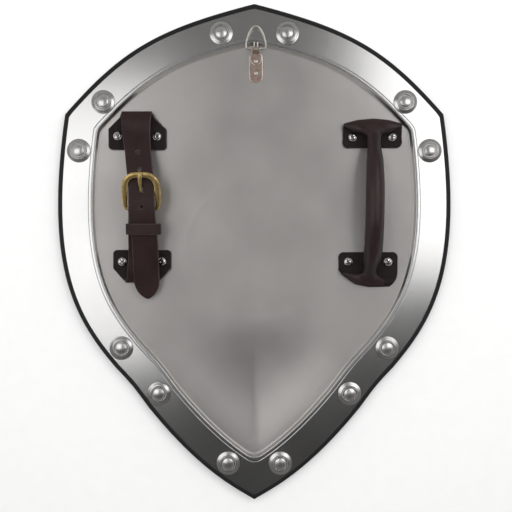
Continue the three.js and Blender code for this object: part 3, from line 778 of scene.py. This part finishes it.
# Bands of the washer painted darker as shade: the groove round the dome, the dip on the cone and the outer
# lip.
SHADED_BANDS = [(6.9, 8.1), (9.45, 9.85), (14.15, 14.6)]
DOME_R, DOME_H, DOME_SEAT = 7.3, 2.7, 2.85
DOME_BALL, DOME_SHOULDER = 19.0, 1.0
FACE_HEAD_R, FACE_HEAD_H = 8, 4.5
shoulder_turn = math.acos((DOME_R - DOME_SHOULDER) / (DOME_BALL - DOME_SHOULDER))
shoulder_z = DOME_SEAT + DOME_H - DOME_BALL + (DOME_BALL - DOME_SHOULDER) * math.sin(shoulder_turn)
dome_low = math.degrees(shoulder_turn)
face_ball = (FACE_HEAD_R**2 + FACE_HEAD_H**2) / (2 * FACE_HEAD_H)
face_low = math.degrees(math.asin((face_ball - FACE_HEAD_H) / face_ball))
face_z = -PLATE - 0.3
rivet_profile = [
    *arc(0, face_z - FACE_HEAD_H + face_ball, face_ball, -90, -face_low, 12),
    (3, face_z), (3, DOME_SEAT), (DOME_R, DOME_SEAT),
    *arc(DOME_R - DOME_SHOULDER, shoulder_z, DOME_SHOULDER, 0, dome_low, 6),
    *arc(0, DOME_SEAT + DOME_H - DOME_BALL, DOME_BALL, dome_low, 90, 12)[1:],
]


def place_turned(profile, at, name, node, materials, dark=(), steps=72):
    bm = turned(profile, steps, dark)
    bmesh.ops.translate(bm, verts=bm.verts, vec=at)
    make_piece(bm, name, [node], materials, sharp=35)


rivet_nodes = sorted(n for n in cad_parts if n.startswith("rim_rivet_"))
for node in rivet_nodes:
    number = node.rsplit("_", 1)[1]
    middle = centre_of(node)
    seat = Vector((middle.x, middle.y, BORDER_BACK * MM))
    place_turned(
        washer_profile, seat, f"rivet_washer_{number}", f"rim_rosette_{number}",
        [washer_steel, shaded_groove_steel], dark=SHADED_BANDS,
    )
    place_turned(rivet_profile, seat, f"domed_rivet_{number}", node, [dome_steel])
print("rivets placed:", len(rivet_nodes))

# %% [markdown]
# # Screws and posts
# The leather is held by pan-head machine screws with a cross recess, which enter binding
# posts from the face. The head begins as a square grid drawn out to a disc, because the
# cross then follows the grid's own lines near the middle: its faces are extruded down.

# %% A pan head with its cross recess
SCREW_R, SCREW_H, SCREW_SKIRT = 5.6, 3.0, 0.45
CROSS_HALF, CROSS_REACH, CROSS_DEPTH = 0.72, 2.7, 1.5
HEAD_CELLS = 28


def disc_place(u, v):
    """Carry a point of the square from -1 to 1 to the unit disc."""
    return u * math.sqrt(1 - v * v / 2), v * math.sqrt(1 - u * u / 2)


def screw_head():
    bm = bmesh.new()
    bmesh.ops.create_grid(bm, x_segments=HEAD_CELLS, y_segments=HEAD_CELLS, size=1)
    for v in bm.verts:
        x, y = disc_place(v.co.x, v.co.y)
        radius = math.hypot(x, y)
        height = SCREW_H * (1 - radius**3.2) ** 0.55 if radius < 1 else 0
        v.co = (x * SCREW_R, y * SCREW_R, max(height, SCREW_SKIRT))
    rim = [e for e in bm.edges if e.is_boundary]
    skirt = bmesh.ops.extrude_edge_only(bm, edges=rim)["geom"]
    for v in (g for g in skirt if isinstance(g, bmesh.types.BMVert)):
        v.co.z = 0
    bmesh.ops.holes_fill(bm, edges=[e for e in bm.edges if e.is_boundary], sides=0)
    bmesh.ops.recalc_face_normals(bm, faces=bm.faces)

    def in_cross(face):
        c = face.calc_center_median()
        near, far = sorted((abs(c.x), abs(c.y)))
        return face.normal.z > 0.3 and near < CROSS_HALF and far < CROSS_REACH

    cross = [f for f in bm.faces if in_cross(f)]
    sunk = bmesh.ops.extrude_face_region(bm, geom=cross)["geom"]
    floor = [g for g in sunk if isinstance(g, bmesh.types.BMVert)]
    bmesh.ops.delete(bm, geom=cross, context="FACES")
    for v in floor:
        away = max(abs(v.co.x), abs(v.co.y)) / CROSS_REACH
        v.co.z = SCREW_H - CROSS_DEPTH * (1.15 - 0.6 * away)
        v.co.xy *= 0.9
    # The recess walls take the darker steel: painted shade inside the cross.
    for f in bm.faces:
        c = f.calc_center_median()
        if max(abs(c.x), abs(c.y)) < CROSS_REACH and c.z < SCREW_H - 0.55 and c.z > 0.5:
            f.material_index = 1
    bmesh.ops.scale(bm, vec=(MM, MM, MM), verts=bm.verts)
    return bm


POST_R, POST_H, POST_SUNK = 6, 1.4, 0.25
post_curve = [(r, -POST_H * (1 - (r / POST_R) ** 2.6)) for r in (1.5, 3, 4.2, 5.2, 5.8)]
POST_PROFILE = [(0, -POST_H), *post_curve, (POST_R, 0), (POST_R, POST_SUNK), (0, POST_SUNK)]
screw_nodes = sorted(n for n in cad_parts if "_screw_" in n)
for i, node in enumerate(screw_nodes):
    low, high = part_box(node)
    head = screw_head()
    turn = Matrix.Rotation(0.35 + 1.13 * i, 4, "Z")
    bmesh.ops.transform(head, matrix=turn, verts=head.verts)
    middle = (low + high) / 2
    at = Vector((middle.x, middle.y, high.z - SCREW_H * MM))
    bmesh.ops.translate(head, verts=head.verts, vec=at)
    name = node.replace("screw", "pan_head")
    make_piece(head, name, [node], [screw_steel, shaded_groove_steel], sharp=30)
    post = node.replace("screw", "post")
    foot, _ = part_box(post)
    seat = Vector((middle.x, middle.y, foot.z + POST_H * MM))
    name = node.replace("screw", "face_head")
    place_turned(POST_PROFILE, seat, name, post, [screw_steel], steps=48)
print("screws and posts placed:", len(screw_nodes))

# %% [markdown]
# # The arm strap
# Two lengths of 3 mm leather, each with a T-shaped foot screwed to the panel. The upper one
# is the billet with punched holes; the lower one, the chape, turns round the buckle's heel
# bar. Both are cut flat on a grid whose half width follows the pattern, punched, and bent
# along a smooth line through a few knots: flat on the panel, over the fold, up over the arm.

# %% A strap bent along its line, with its foot lying on the panel
LEATHER = 3.2
PAD_LIFT = 0.5
STRAP_COLUMNS, STRAP_PITCH = 36, 1.0
FOOT_EASE = 8  # the length over which the foot's end leaves the panel


def widths_along(line, knots):
    """Half widths to the left and right, as functions of the length along a line. A knot is
    (x, y, z, half width), or it ends with a left and a right half width."""
    marks = [line[np.abs(line[:, 1:4] - k[:3]).sum(1).argmin(), 0] for k in knots]
    return [lambda b, halves=[k[i] for k in knots]: np.interp(b, marks, halves) for i in (3, -1)]


def laid_height(x, y, thickness=LEATHER):
    """Height of the middle of a sheet of leather that lies on the panel."""
    return float(panel_back(x, y)) + PAD_LIFT + thickness / 2


def strap_sheet(knots, foot_end, thickness):
    """The flat pattern and the place function for knots with half widths. Up to foot_end, a
    length along the strap, it lies on the panel, and then it leaves it."""
    line = smooth_line([k[:3] for k in knots], 0.5)
    tangent_line = np.column_stack([line[:, 0], directions(line[:, 1:4])])

    def place(a, b):
        dx, dy, dz = line_at(tangent_line, b)
        across = Vector((1 - dx**2, -dx * dy, -dx * dz)).normalized()
        point = Vector(line_at(line, b)) + across * a
        on_foot = 1 - min(max((b - foot_end) / FOOT_EASE + 1, 0), 1)
        if on_foot > 0:
            above = laid_height(point.x, point.y, thickness) - point.z
            point.z += on_foot * on_foot * (3 - 2 * on_foot) * above
        return point * MM

    sheet = flat_sheet(line[-1, 0], *widths_along(line, knots), STRAP_COLUMNS, STRAP_PITCH)
    return sheet, place, line


def run_to(line, y, after=0.0):
    """Length along a line to where it passes a value of y, beyond a first stretch."""
    rows = line[line[:, 0] >= after]
    return rows[np.abs(rows[:, 2] - y).argmin(), 0]


# %% Billet: foot, fold and free end
TOP_PAD = (-144.6, 142.5)
HEEL_BAR = (-135.1, 52.0, 40.0)
STRAP_HALF = 15.0
px, py = TOP_PAD
pad_height = laid_height(px - 18, py + 18)
billet_knots = [
    (px, py - 16, pad_height, 31), (px, py - 15.2, pad_height, 33.6), (px, py - 13, pad_height, 35),
    (px, py + 9, pad_height, 35), (px, py + 12, pad_height, 32, 31.5), (px, py + 23, pad_height + 1.6, 21),
    (px, py + 28.4, pad_height + 5.4, 18), (px, py + 23, pad_height + 9.4, 17.7),
    (px + 0.6, py + 4, 25.8, 16.4),
]
over_arm = (
    (-141, 122, 33), (-138.2, 103, 39.4), (-136, 88, 43.4), (-134.7, 72, 46.2), (-134.2, 57, 47.8),
    (-133.5, 42, 45.8), (-132.3, 24, 40.6), (-131.8, 0, 33), (-131.6, -25, 26.2), (-131.4, -35, 24),
    (-130.7, -57.5, 19.4),
)
billet_knots += [(*place, STRAP_HALF) for place in over_arm]
TIP_LENGTH = 25.0
billet, billet_place, billet_line = strap_sheet(billet_knots, foot_end=36, thickness=LEATHER)
billet_length = billet_line[-1, 0]
for v in billet.verts:
    into_tip = max(0, (v.co.y - billet_length + TIP_LENGTH) / TIP_LENGTH)
    v.co.x *= max(1 - into_tip**2.4, 0.004) ** 0.75
past_fold = run_to(billet_line, py + 28.4)
HOLE_R, HOLE_REACH = 2.7, 0.3
for y in (119.5, 97.8, 53):
    punch(billet, (0, run_to(billet_line, y, past_fold)), HOLE_R, HOLE_REACH)
punch(billet, (0, run_to(billet_line, 72.6, past_fold)), HOLE_R, 2)
bend(billet, billet_place)
thicken(billet, LEATHER * MM, 0.7 * MM)
print("billet length:", round(billet_length), "mm, faces", len(billet.faces))
make_piece(billet, "strap_billet_leather", ["strap_billet"], STRAP_FINISHES, sharp=70)

# %% Chape: foot, fold, and round the heel bar
LOW_PAD = (-139, -12.4)
CHAPE, BAR_R = 3.0, 2.0
px, py = LOW_PAD
pad_height = laid_height(px - 18, py - 15, CHAPE)
bar_x = HEEL_BAR[0]
loop = BAR_R + 0.3 + CHAPE / 2
chape_knots = [
    (px, py + 14, pad_height, 31), (px, py + 13.2, pad_height, 33.6), (px, py + 11, pad_height, 35),
    (px, py - 8.5, pad_height, 35), (px, py - 19, pad_height + 0.6, 26),
    (px, py - 24.4, pad_height + 4, 19.5, 20.5), (px, py - 19, pad_height + 7.6, 16.8, 18.5),
    (-138, -6, 25.2, STRAP_HALF), (-136.2, 28, 37.6, STRAP_HALF), (bar_x, 46, 42.6, STRAP_HALF),
]
chape_knots += [(*place, STRAP_HALF) for place in round_bar(HEEL_BAR, loop, (90, 45, 0, -45, -90))]
chape_knots += [(bar_x, 44, 35.2, STRAP_HALF), (bar_x - 0.6, 34, 32.9, STRAP_HALF)]
chape, chape_place, chape_line = strap_sheet(chape_knots, foot_end=26, thickness=CHAPE)
bar_run = chape_line[chape_line[:, 2].argmax(), 0]
punch(chape, (0, bar_run + 4), 3.4, 2.6)
bend(chape, chape_place)
thicken(chape, CHAPE * MM, 0.6 * MM)
make_piece(chape, "strap_chape_leather", ["strap_chape"], STRAP_FINISHES[::-1], sharp=70)

# %% [markdown]
# # The keeper
# A narrow band of leather, glued into a loop round both lengths of strap. It is bent as a
# flat strip round a rounded rectangle, with a slight crown where it is drawn over the strap.

# %% Bend the keeper's strip into its loop
KEEPER_SHIFT = 0.7
keeper_middle = centre_of("strap_keeper") / MM - Vector((KEEPER_SHIFT, 0, 0))
KEEPER_W, KEEPER_H, KEEPER_L, KEEPER_WALL = 42.2, 13.2, 13.0, 2.2
KEEPER_TILT = math.radians(5)
KEEPER_ROUND, KEEPER_CROWN, KEEPER_EDGE = 3.4, 0.5, 0.6

keeper_w, keeper_h = KEEPER_W - KEEPER_WALL, KEEPER_H - KEEPER_WALL
corner_x, corner_z = keeper_w / 2 - KEEPER_ROUND, keeper_h / 2 - KEEPER_ROUND
keeper_points = [(0, -keeper_h / 2)]
for right, top, start in ((1, -1, -90), (1, 1, 0), (-1, 1, 90), (-1, -1, 180)):
    keeper_points += arc(right * corner_x, top * corner_z, KEEPER_ROUND, start, start + 90, 24)
keeper_line = measured(np.array([(x, z, 0) for x, z in (*keeper_points, keeper_points[0])]))
keeper_halves = [lambda b: KEEPER_L / 2 - 0.5] * 2
keeper = flat_sheet(keeper_line[-1, 0], *keeper_halves, 12, 0.9)


def keeper_place(a, b):
    x, z, _ = line_at(keeper_line, b)
    z += KEEPER_CROWN * (1 - (2 * x / keeper_w) ** 2) * (z > 0)
    along = Vector((0, math.cos(KEEPER_TILT), math.sin(KEEPER_TILT)))
    up = Vector((0, -math.sin(KEEPER_TILT), math.cos(KEEPER_TILT)))
    return (keeper_middle + Vector((x, 0, 0)) + along * a + up * z) * MM


bend(keeper, keeper_place)
bmesh.ops.remove_doubles(keeper, verts=keeper.verts, dist=1e-5)
thicken(keeper, KEEPER_WALL * MM, KEEPER_EDGE * MM)
make_piece(keeper, "keeper_loop", ["strap_keeper"], STRAP_FINISHES[::-1], sharp=70)
print("keeper loop:", round(keeper_line[-1, 0]), "mm round")

# %% [markdown]
# # The buckle
# A cast horseshoe on a straight heel bar, with a tongue bent round the bar. Both are lofts:
# the frame's section is a flattened round that grows from the bar to the broad sides and
# thins over the crown, and the tongue's tapers to a point that rests on the crown.

# %% Loft the frame
BUCKLE_TILT = math.radians(18)
INNER, OUTER, BUCKLE_L, CORNER, THICK = 31.0, 46.4, 43.8, 14.5, 2.1
SECTION_POINTS = 20
side = (INNER + OUTER) / 4
band = (OUTER - INNER) / 4
crown = BUCKLE_L - 0.8 * band
frame_knots = [
    (0, 0, 0, BAR_R, BAR_R), (side - 5, 0, 0, BAR_R, BAR_R), (side - 1, 0.1, 0, 0.62 * band, 0.95 * THICK),
    (side + 0.4, 3.2, 0, 0.7 * band, 0.95 * THICK), (side + 0.5, 9, 0, 0.86 * band, THICK),
    (side + 0.2, crown - CORNER - 6, 0, band, THICK),
]
for angle in (10, 35, 60):
    turn = math.radians(angle)
    u, v = side - CORNER + CORNER * math.cos(turn), crown - CORNER + CORNER * math.sin(turn)
    frame_knots.append((u, v, 0, (0.98 - 0.0012 * angle) * band, THICK))
frame_knots.append((0, crown + 0.4, 0, 0.85 * band, THICK))
frame_right = smooth_line(frame_knots, 0.8)
frame_left = frame_right[-2:0:-1] * (1, -1, 1, 1, 1, 1)
stations = np.vstack([frame_right, frame_left])[:, 1:]
along = np.roll(stations[:, :2], -1, axis=0) - np.roll(stations[:, :2], 1, axis=0)
along /= np.linalg.norm(along, axis=1)[:, None]
buckle_turn = Matrix.Translation(Vector(HEEL_BAR) * MM) @ Matrix.Rotation(BUCKLE_TILT, 4, "X")


def cast_section(u, v, half, thick, direction):
    """A flattened round across the frame, fuller than an ellipse."""
    outline = [flat_round(turn, half, thick, 0.8, 0.85) for turn in turns(SECTION_POINTS)]
    to_u, to_v = direction[1], -direction[0]
    return [Vector((u + to_u * across, v + to_v * across, rise)) * MM for across, rise in outline]


buckle = loft([cast_section(*row[:2], *row[3:5], d) for row, d in zip(stations, along)], closed=True)
bmesh.ops.transform(buckle, matrix=buckle_turn, verts=buckle.verts)
make_piece(buckle, "horseshoe_buckle", ["buckle_frame"], [antique_brass], sharp=60)
print("buckle stations:", len(stations))

# %% Loft the tongue round the bar and over the crown
reach = BAR_R + 0.3 + 1.1
round_heel = round_bar(HEEL_BAR, reach, (130, 165, 200, 235, 270, 300))
tongue_knots = [(*place, 2.3, 1.1) for place in round_heel]
tongue_knots += [
    (bar_x, 62, 40.8, 1.9, 1.1), (bar_x, 68, 43.8, 1.5, 1.1), (bar_x, 72.8, 48.6, 1.3, 1.1),
    (bar_x, 78.4, 52.8, 1.7, 1.2), (bar_x, 85, 55.7, 2.3, 1.2), (bar_x, 90.6, 56.8, 2.7, 1.2),
    (bar_x, 93.2, 56.7, 2.4, 1.0), (bar_x, 94, 56.5, 1.4, 0.6),
]
tongue_line = smooth_line(tongue_knots, 0.6)
tongue_rings = []
for (_, x, y, z, half, thick), (ahead, climb) in zip(tongue_line, directions(tongue_line[:, 2:4])):
    outline = [flat_round(turn, half, thick, 0.75, 0.75) for turn in turns(16)]
    tongue_rings.append([Vector((x + u, y - climb * v, z + ahead * v)) * MM for u, v in outline])
make_piece(loft(tongue_rings), "buckle_pin", ["buckle_tongue"], [antique_brass], sharp=60)

# %% [markdown]
# # The grip
# One piece of leather, screwed flat at both ends and rolled into a handle between them. At
# each end it folds over on itself, and the flap draws in from the pad's full width to the
# roll in a hollow curve. A loft follows it: the section is flat and wide on the pad, and
# turns to a round with a few soft creases along it.

# %% Loft the grip from one pad to the other
GRIP_TOP, GRIP_LOW = (146, 141.5), (141, -12.6)
GRIP_POINTS = 112
BOW_LEVEL = 10  # the middle of a bowed section that stays straight
tx, ty = GRIP_TOP
lx, ly = GRIP_LOW
top_z, low_z = laid_height(tx + 30, ty + 12), laid_height(lx + 26, ly - 22)
on_top, on_low = laid_height(tx, ty), laid_height(lx, ly)
# Each knot: x, y, z, left half, right half, half thickness, droop of the wings, bow of its
# left and right along the grip, squareness, and how far the section lies on the panel.
PAD_TOP_ENDS = ((-13, 31, 1.5), (-12, 33.5, 1.6), (-9.5, 35.4, 1.6), (0, 36, 1.6))
PAD_LOW_ENDS = ((0.6, 36, 1.6), (8.5, 35.4, 1.6), (11, 33.5, 1.6), (12, 31, 1.5))
roll_knots = (
    (145, 130, 33.8, 8.2, 8.2, 8.2), (144.4, 110, 42, 10, 10.4, 9.6), (144, 85, 47.2, 11.2, 11.4, 10),
    (143.7, 55, 48.8, 11.5, 11.5, 10), (143.2, 25, 46.2, 11.4, 11.5, 10), (142.9, 2, 38.6, 11, 11.4, 9.6),
    (lx + 1, -13, 30, 9.6, 10.2, 8),
)
grip_knots = [
    *[(tx, ty + dy, on_top, half, half, thick, 0, 0, 0, 8, 1) for dy, half, thick in PAD_TOP_ENDS],
    (tx, ty + 10, top_z, 36, 36, 1.6, 0, 0, 0, 9, 0.9),
    (tx, ty + 16.6, top_z + 0.6, 36, 36, 1.6, 0, 3, 3, 9, 0.4),
    (tx, ty + 20.8, top_z + 4.4, 36, 36, 1.6, 0.5, 6, 6, 9, 0),
    (tx, ty + 17.6, top_z + 8.2, 34.5, 34.5, 1.5, 2, 5.4, 5.4, 8, 0),
    (tx - 0.2, ty + 13, top_z + 9.8, 29.5, 29.5, 1.7, 3.6, 4, 4, 6, 0),
    (tx - 0.3, ty + 9, top_z + 11.2, 22, 22, 2.6, 4.4, 3, 3, 3.6, 0),
    (tx - 0.4, ty + 5, top_z + 13.2, 13.6, 13.6, 4.4, 3.4, 1, 1, 2.4, 0),
    (tx - 0.6, ty + 0.5, top_z + 16, 9.6, 9.6, 6.6, 0.8, 0, 0, 2, 0),
    *[(*knot, 0, 0, 0, 2, 0) for knot in roll_knots],
    (lx + 0.6, -22, 24.4, 8.6, 8.8, 6.4, 0.4, 0, 0, 2, 0),
    (lx + 0.4, -29, 21, 10.6, 10.6, 4.2, 1.6, -2, -0.5, 2.4, 0),
    (lx + 0.4, -34.5, 18.8, 19, 16.5, 2.6, 3, -7, -1.5, 3.4, 0),
    (lx + 0.4, -39.4, 16.6, 30, 24, 1.8, 2.8, -13.5, -0.6, 6, 0),
    (lx + 0.4, -42.4, 13.6, 34.4, 27.4, 1.6, 1.2, -16, -0.4, 8, 0),
    (lx + 0.2, -41, low_z + 0.9, 35, 29, 1.6, 0.4, -15.5, -0.6, 8, 0.3),
    (lx, -36.4, low_z + 0.2, 35.6, 33, 1.6, 0, -12.5, -1, 8, 0.8),
    (lx, -30, on_low, 36, 35.6, 1.6, 0, -7, -1, 8, 1), (lx, -22, on_low, 36, 36, 1.6, 0, -2, 0, 8, 1),
    *[(lx, ly + dy, on_low, half, half, thick, 0, 0, 0, 8, 1) for dy, half, thick in PAD_LOW_ENDS],
]
grip_line = smooth_line(grip_knots, 1.6)
grip_along = directions(grip_line[:, 2:4])


def crease(turn, run):
    """Depth of the soft lengthwise creases, from the angle round the roll and the length."""
    wander = 0.16 * math.sin(run / 31.0) + 0.05 * math.sin(run / 9.0)
    folds = ((0.75, 0.2, 1.1), (1.3, 0.14, 1.2), (1.85, 0.14, 1.5), (2.35, 0.16, 1.5))
    return sum(depth * math.exp(-(((turn - at - wander) / width) ** 2)) for at, width, depth in folds)


def grip_section(row, direction):
    run, x, y, z, left, right, thick, droop, left_bow, right_bow, square, laid = row
    ahead, climb = direction
    roundness = min(max((thick - 3) / 4, 0), 1)
    points = []
    for turn in turns(GRIP_POINTS):
        half, bow = (left, left_bow) if math.cos(turn) < 0 else (right, right_bow)
        u, v = flat_round(turn, half, thick, 2 / square, 2 / square)
        sunk = roundness * crease(turn, run) / thick
        u, v = u * (1 - 0.35 * sunk), v * (1 - sunk)
        level = min(BOW_LEVEL, 0.4 * half)
        out = (max(0, abs(u) - level) / (half - level)) ** 1.15
        bowed = y - climb * v - bow * out
        height = z + ahead * v - droop * out
        if laid > 0:
            height += laid * float(panel_back(x + u, bowed) - panel_back(x, bowed))
        points.append(Vector((x + u, bowed, height)) * MM)
    return points


PAD_LAID = 0.35  # a section that lies on the panel more than this belongs to a pad
# Pad sections take the darker flesh leather: the flesh side, painted darker as shade.
pad_sides = [1 if laid > PAD_LAID else 0 for laid in grip_line[1:, -1]]
grip = loft([grip_section(row, d) for row, d in zip(grip_line, grip_along)], materials=pad_sides)
make_piece(grip, "rolled_grip", ["hand_grip"], [grip_leather, shaded_flesh_leather], sharp=75)
print("grip length along the leather:", round(grip_line[-1, 0]), "mm")

# %% [markdown]
# # The wall hanger
# A tab of thin plated sheet is folded round a wire ring and riveted through the plate near
# the top corner. The wire's two ends meet in the middle of the bar and turn up through a
# slot in the fold. The ring swings on its bar, so it is the one piece that rides on the
# other body.

# %% Fold the tab
HANGER_X = centre_of("hanger_plate").x / MM
RING_BAR = (HANGER_X, 250.6, 15.8)
SHEET, WIRE = 1.2, 1.0
FOLD_GAP, TAB_GAP = 0.3, 0.4
NECK = 4.6
fold = WIRE + FOLD_GAP + SHEET / 2


def above_panel(y, half, lift=0.0):
    """A knot of the tab that lies a little above the panel."""
    return HANGER_X, y, float(panel_back(HANGER_X, y)) + TAB_GAP + SHEET / 2 + lift, half


back_leaf = (
    (209.9, 0.3), (210.3, 2.9), (211.2, 4.8), (212.6, 6.4), (214.6, 7.2), (217, 7.8), (219, 7.9),
    (242.4, 7.9), (243.4, 6.8), (244, NECK), (247.6, NECK),
)
front_leaf = (
    (246, NECK, 1.2), (244, 4.8, 0.4), (243, 6.5, 0.3), (237, 6.6, 0.4), (234.4, 5.6, 0.5),
    (232.4, 4, 0.6), (230.8, 2.2, 0.7), (229.8, 0.4, 0.7),
)
tab_knots = [above_panel(y, half) for y, half in back_leaf]
tab_knots += [(*place, NECK) for place in round_bar(RING_BAR, fold, (-60, -20, 20, 60, 90))]
tab_knots += [above_panel(y, half, SHEET + FOLD_GAP + up) for y, half, up in front_leaf]
tab_line = smooth_line([k[:3] for k in tab_knots], 0.25)
tab = flat_sheet(tab_line[-1, 0], *widths_along(tab_line, tab_knots), 18, 0.5)
slot_run = tab_line[tab_line[:, 2].argmax(), 0]
punch(tab, (0, slot_run), 2.9, 1.2)


def tab_place(a, b):
    x, y, z = line_at(tab_line, b)
    return Vector((x + a, y, z)) * MM


bend(tab, tab_place)
# The tab's cut edges take the bright nickel as a painted highlight along them; its faces take the tarnished
# plate.
thicken(tab, SHEET * MM, 0.7 * MM, steps=4, under=0)
make_piece(tab, "hanger_tab", ["hanger_plate"], [tarnished_plate, hanger_nickel], sharp=50)

# %% Bend the wire ring
RING_HALF, RING_HEIGHT, RING_TILT = 12.2, 26.4, math.radians(17)
shape = [(0.9, 0.42), (0.68, 0.7), (0.4, 0.9), (0.2, 0.98), (0, 0.995)]
right_wire = [
    (1.9, 7.4, 0.4), (2.05, 4.6, 0.7), (2.8, 1.7, 0.5), (4.3, 0.15, 0.1), (6, 0, 0), (9.6, 0, 0),
    (11.3, 0.5, 0), (12.0, 1.6, 0), (12.2, 4.2, 0), *[(u * RING_HALF, v * RING_HEIGHT, 0) for u, v in shape],
]
wire_knots = right_wire + [(-u, v, w) for u, v, w in reversed(right_wire[:-1])]
wire_line = smooth_line(wire_knots, 0.5)
wire_rings = []
for (_, u, v, w), direction in zip(wire_line, directions(wire_line[:, 1:4])):
    forward = Vector(direction)
    side_way = Vector((0, 0, 1)).cross(forward).normalized()
    up_way = forward.cross(side_way)
    around = [side_way * math.cos(t) + up_way * math.sin(t) for t in turns(14)]
    wire_rings.append([(Vector((u, v, w)) + out * WIRE) * MM for out in around])
wire = loft(wire_rings)
ring_turn = Matrix.Translation(Vector(RING_BAR) * MM) @ Matrix.Rotation(RING_TILT, 4, "X")
bmesh.ops.transform(wire, matrix=ring_turn, verts=wire.verts)
make_piece(
    wire, "hanger_wire_ring", ["hanger_ring"], [hanger_nickel], body="wall_ring", sharp=60
)

# %% Its two rivets
for node in ("hanger_rivet_1", "hanger_rivet_2"):
    low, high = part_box(node)
    middle = (low + high) / 2
    height = (high.z - low.z) / MM
    profile = [
        (0, 0), (1.4, 0.1), (2.3, 0.5), (2.6, 1.2), (1.3, 1.2), (1.3, height - 1.5), (2.6, height - 1.5),
        (2.65, height - 1.2), (2.2, height - 0.55), (1.4, height - 0.15), (0.6, height), (0, height),
    ]
    foot = Vector((middle.x, middle.y, low.z))
    place_turned(profile, foot, node + "_head", node, [hanger_nickel], steps=32)
print("hanger pieces done")

# %% [markdown]
# # The floor
# A plain pale surface that the shield lies on, face down. It belongs to the studio and not
# to the shield, so it is marked as stage.

# %% Lay the floor
pale_floor = finish("pale_floor", (0.9, 0.9, 0.9), 0.0, 0.8)
dust = pattern(pale_floor, 60, Detail=3.0)
dress(pale_floor, blend_colour(pale_floor, dust, (0.88, 0.88, 0.88), (0.92, 0.92, 0.92)))
floor = bmesh.new()
bmesh.ops.create_grid(floor, x_segments=1, y_segments=1, size=6)
bmesh.ops.translate(floor, verts=floor.verts, vec=(0, 0, -0.1 * MM))
new_object(floor, "floor", [pale_floor])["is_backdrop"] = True

# %% Measure the bounds of what is drawn
low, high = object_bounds()
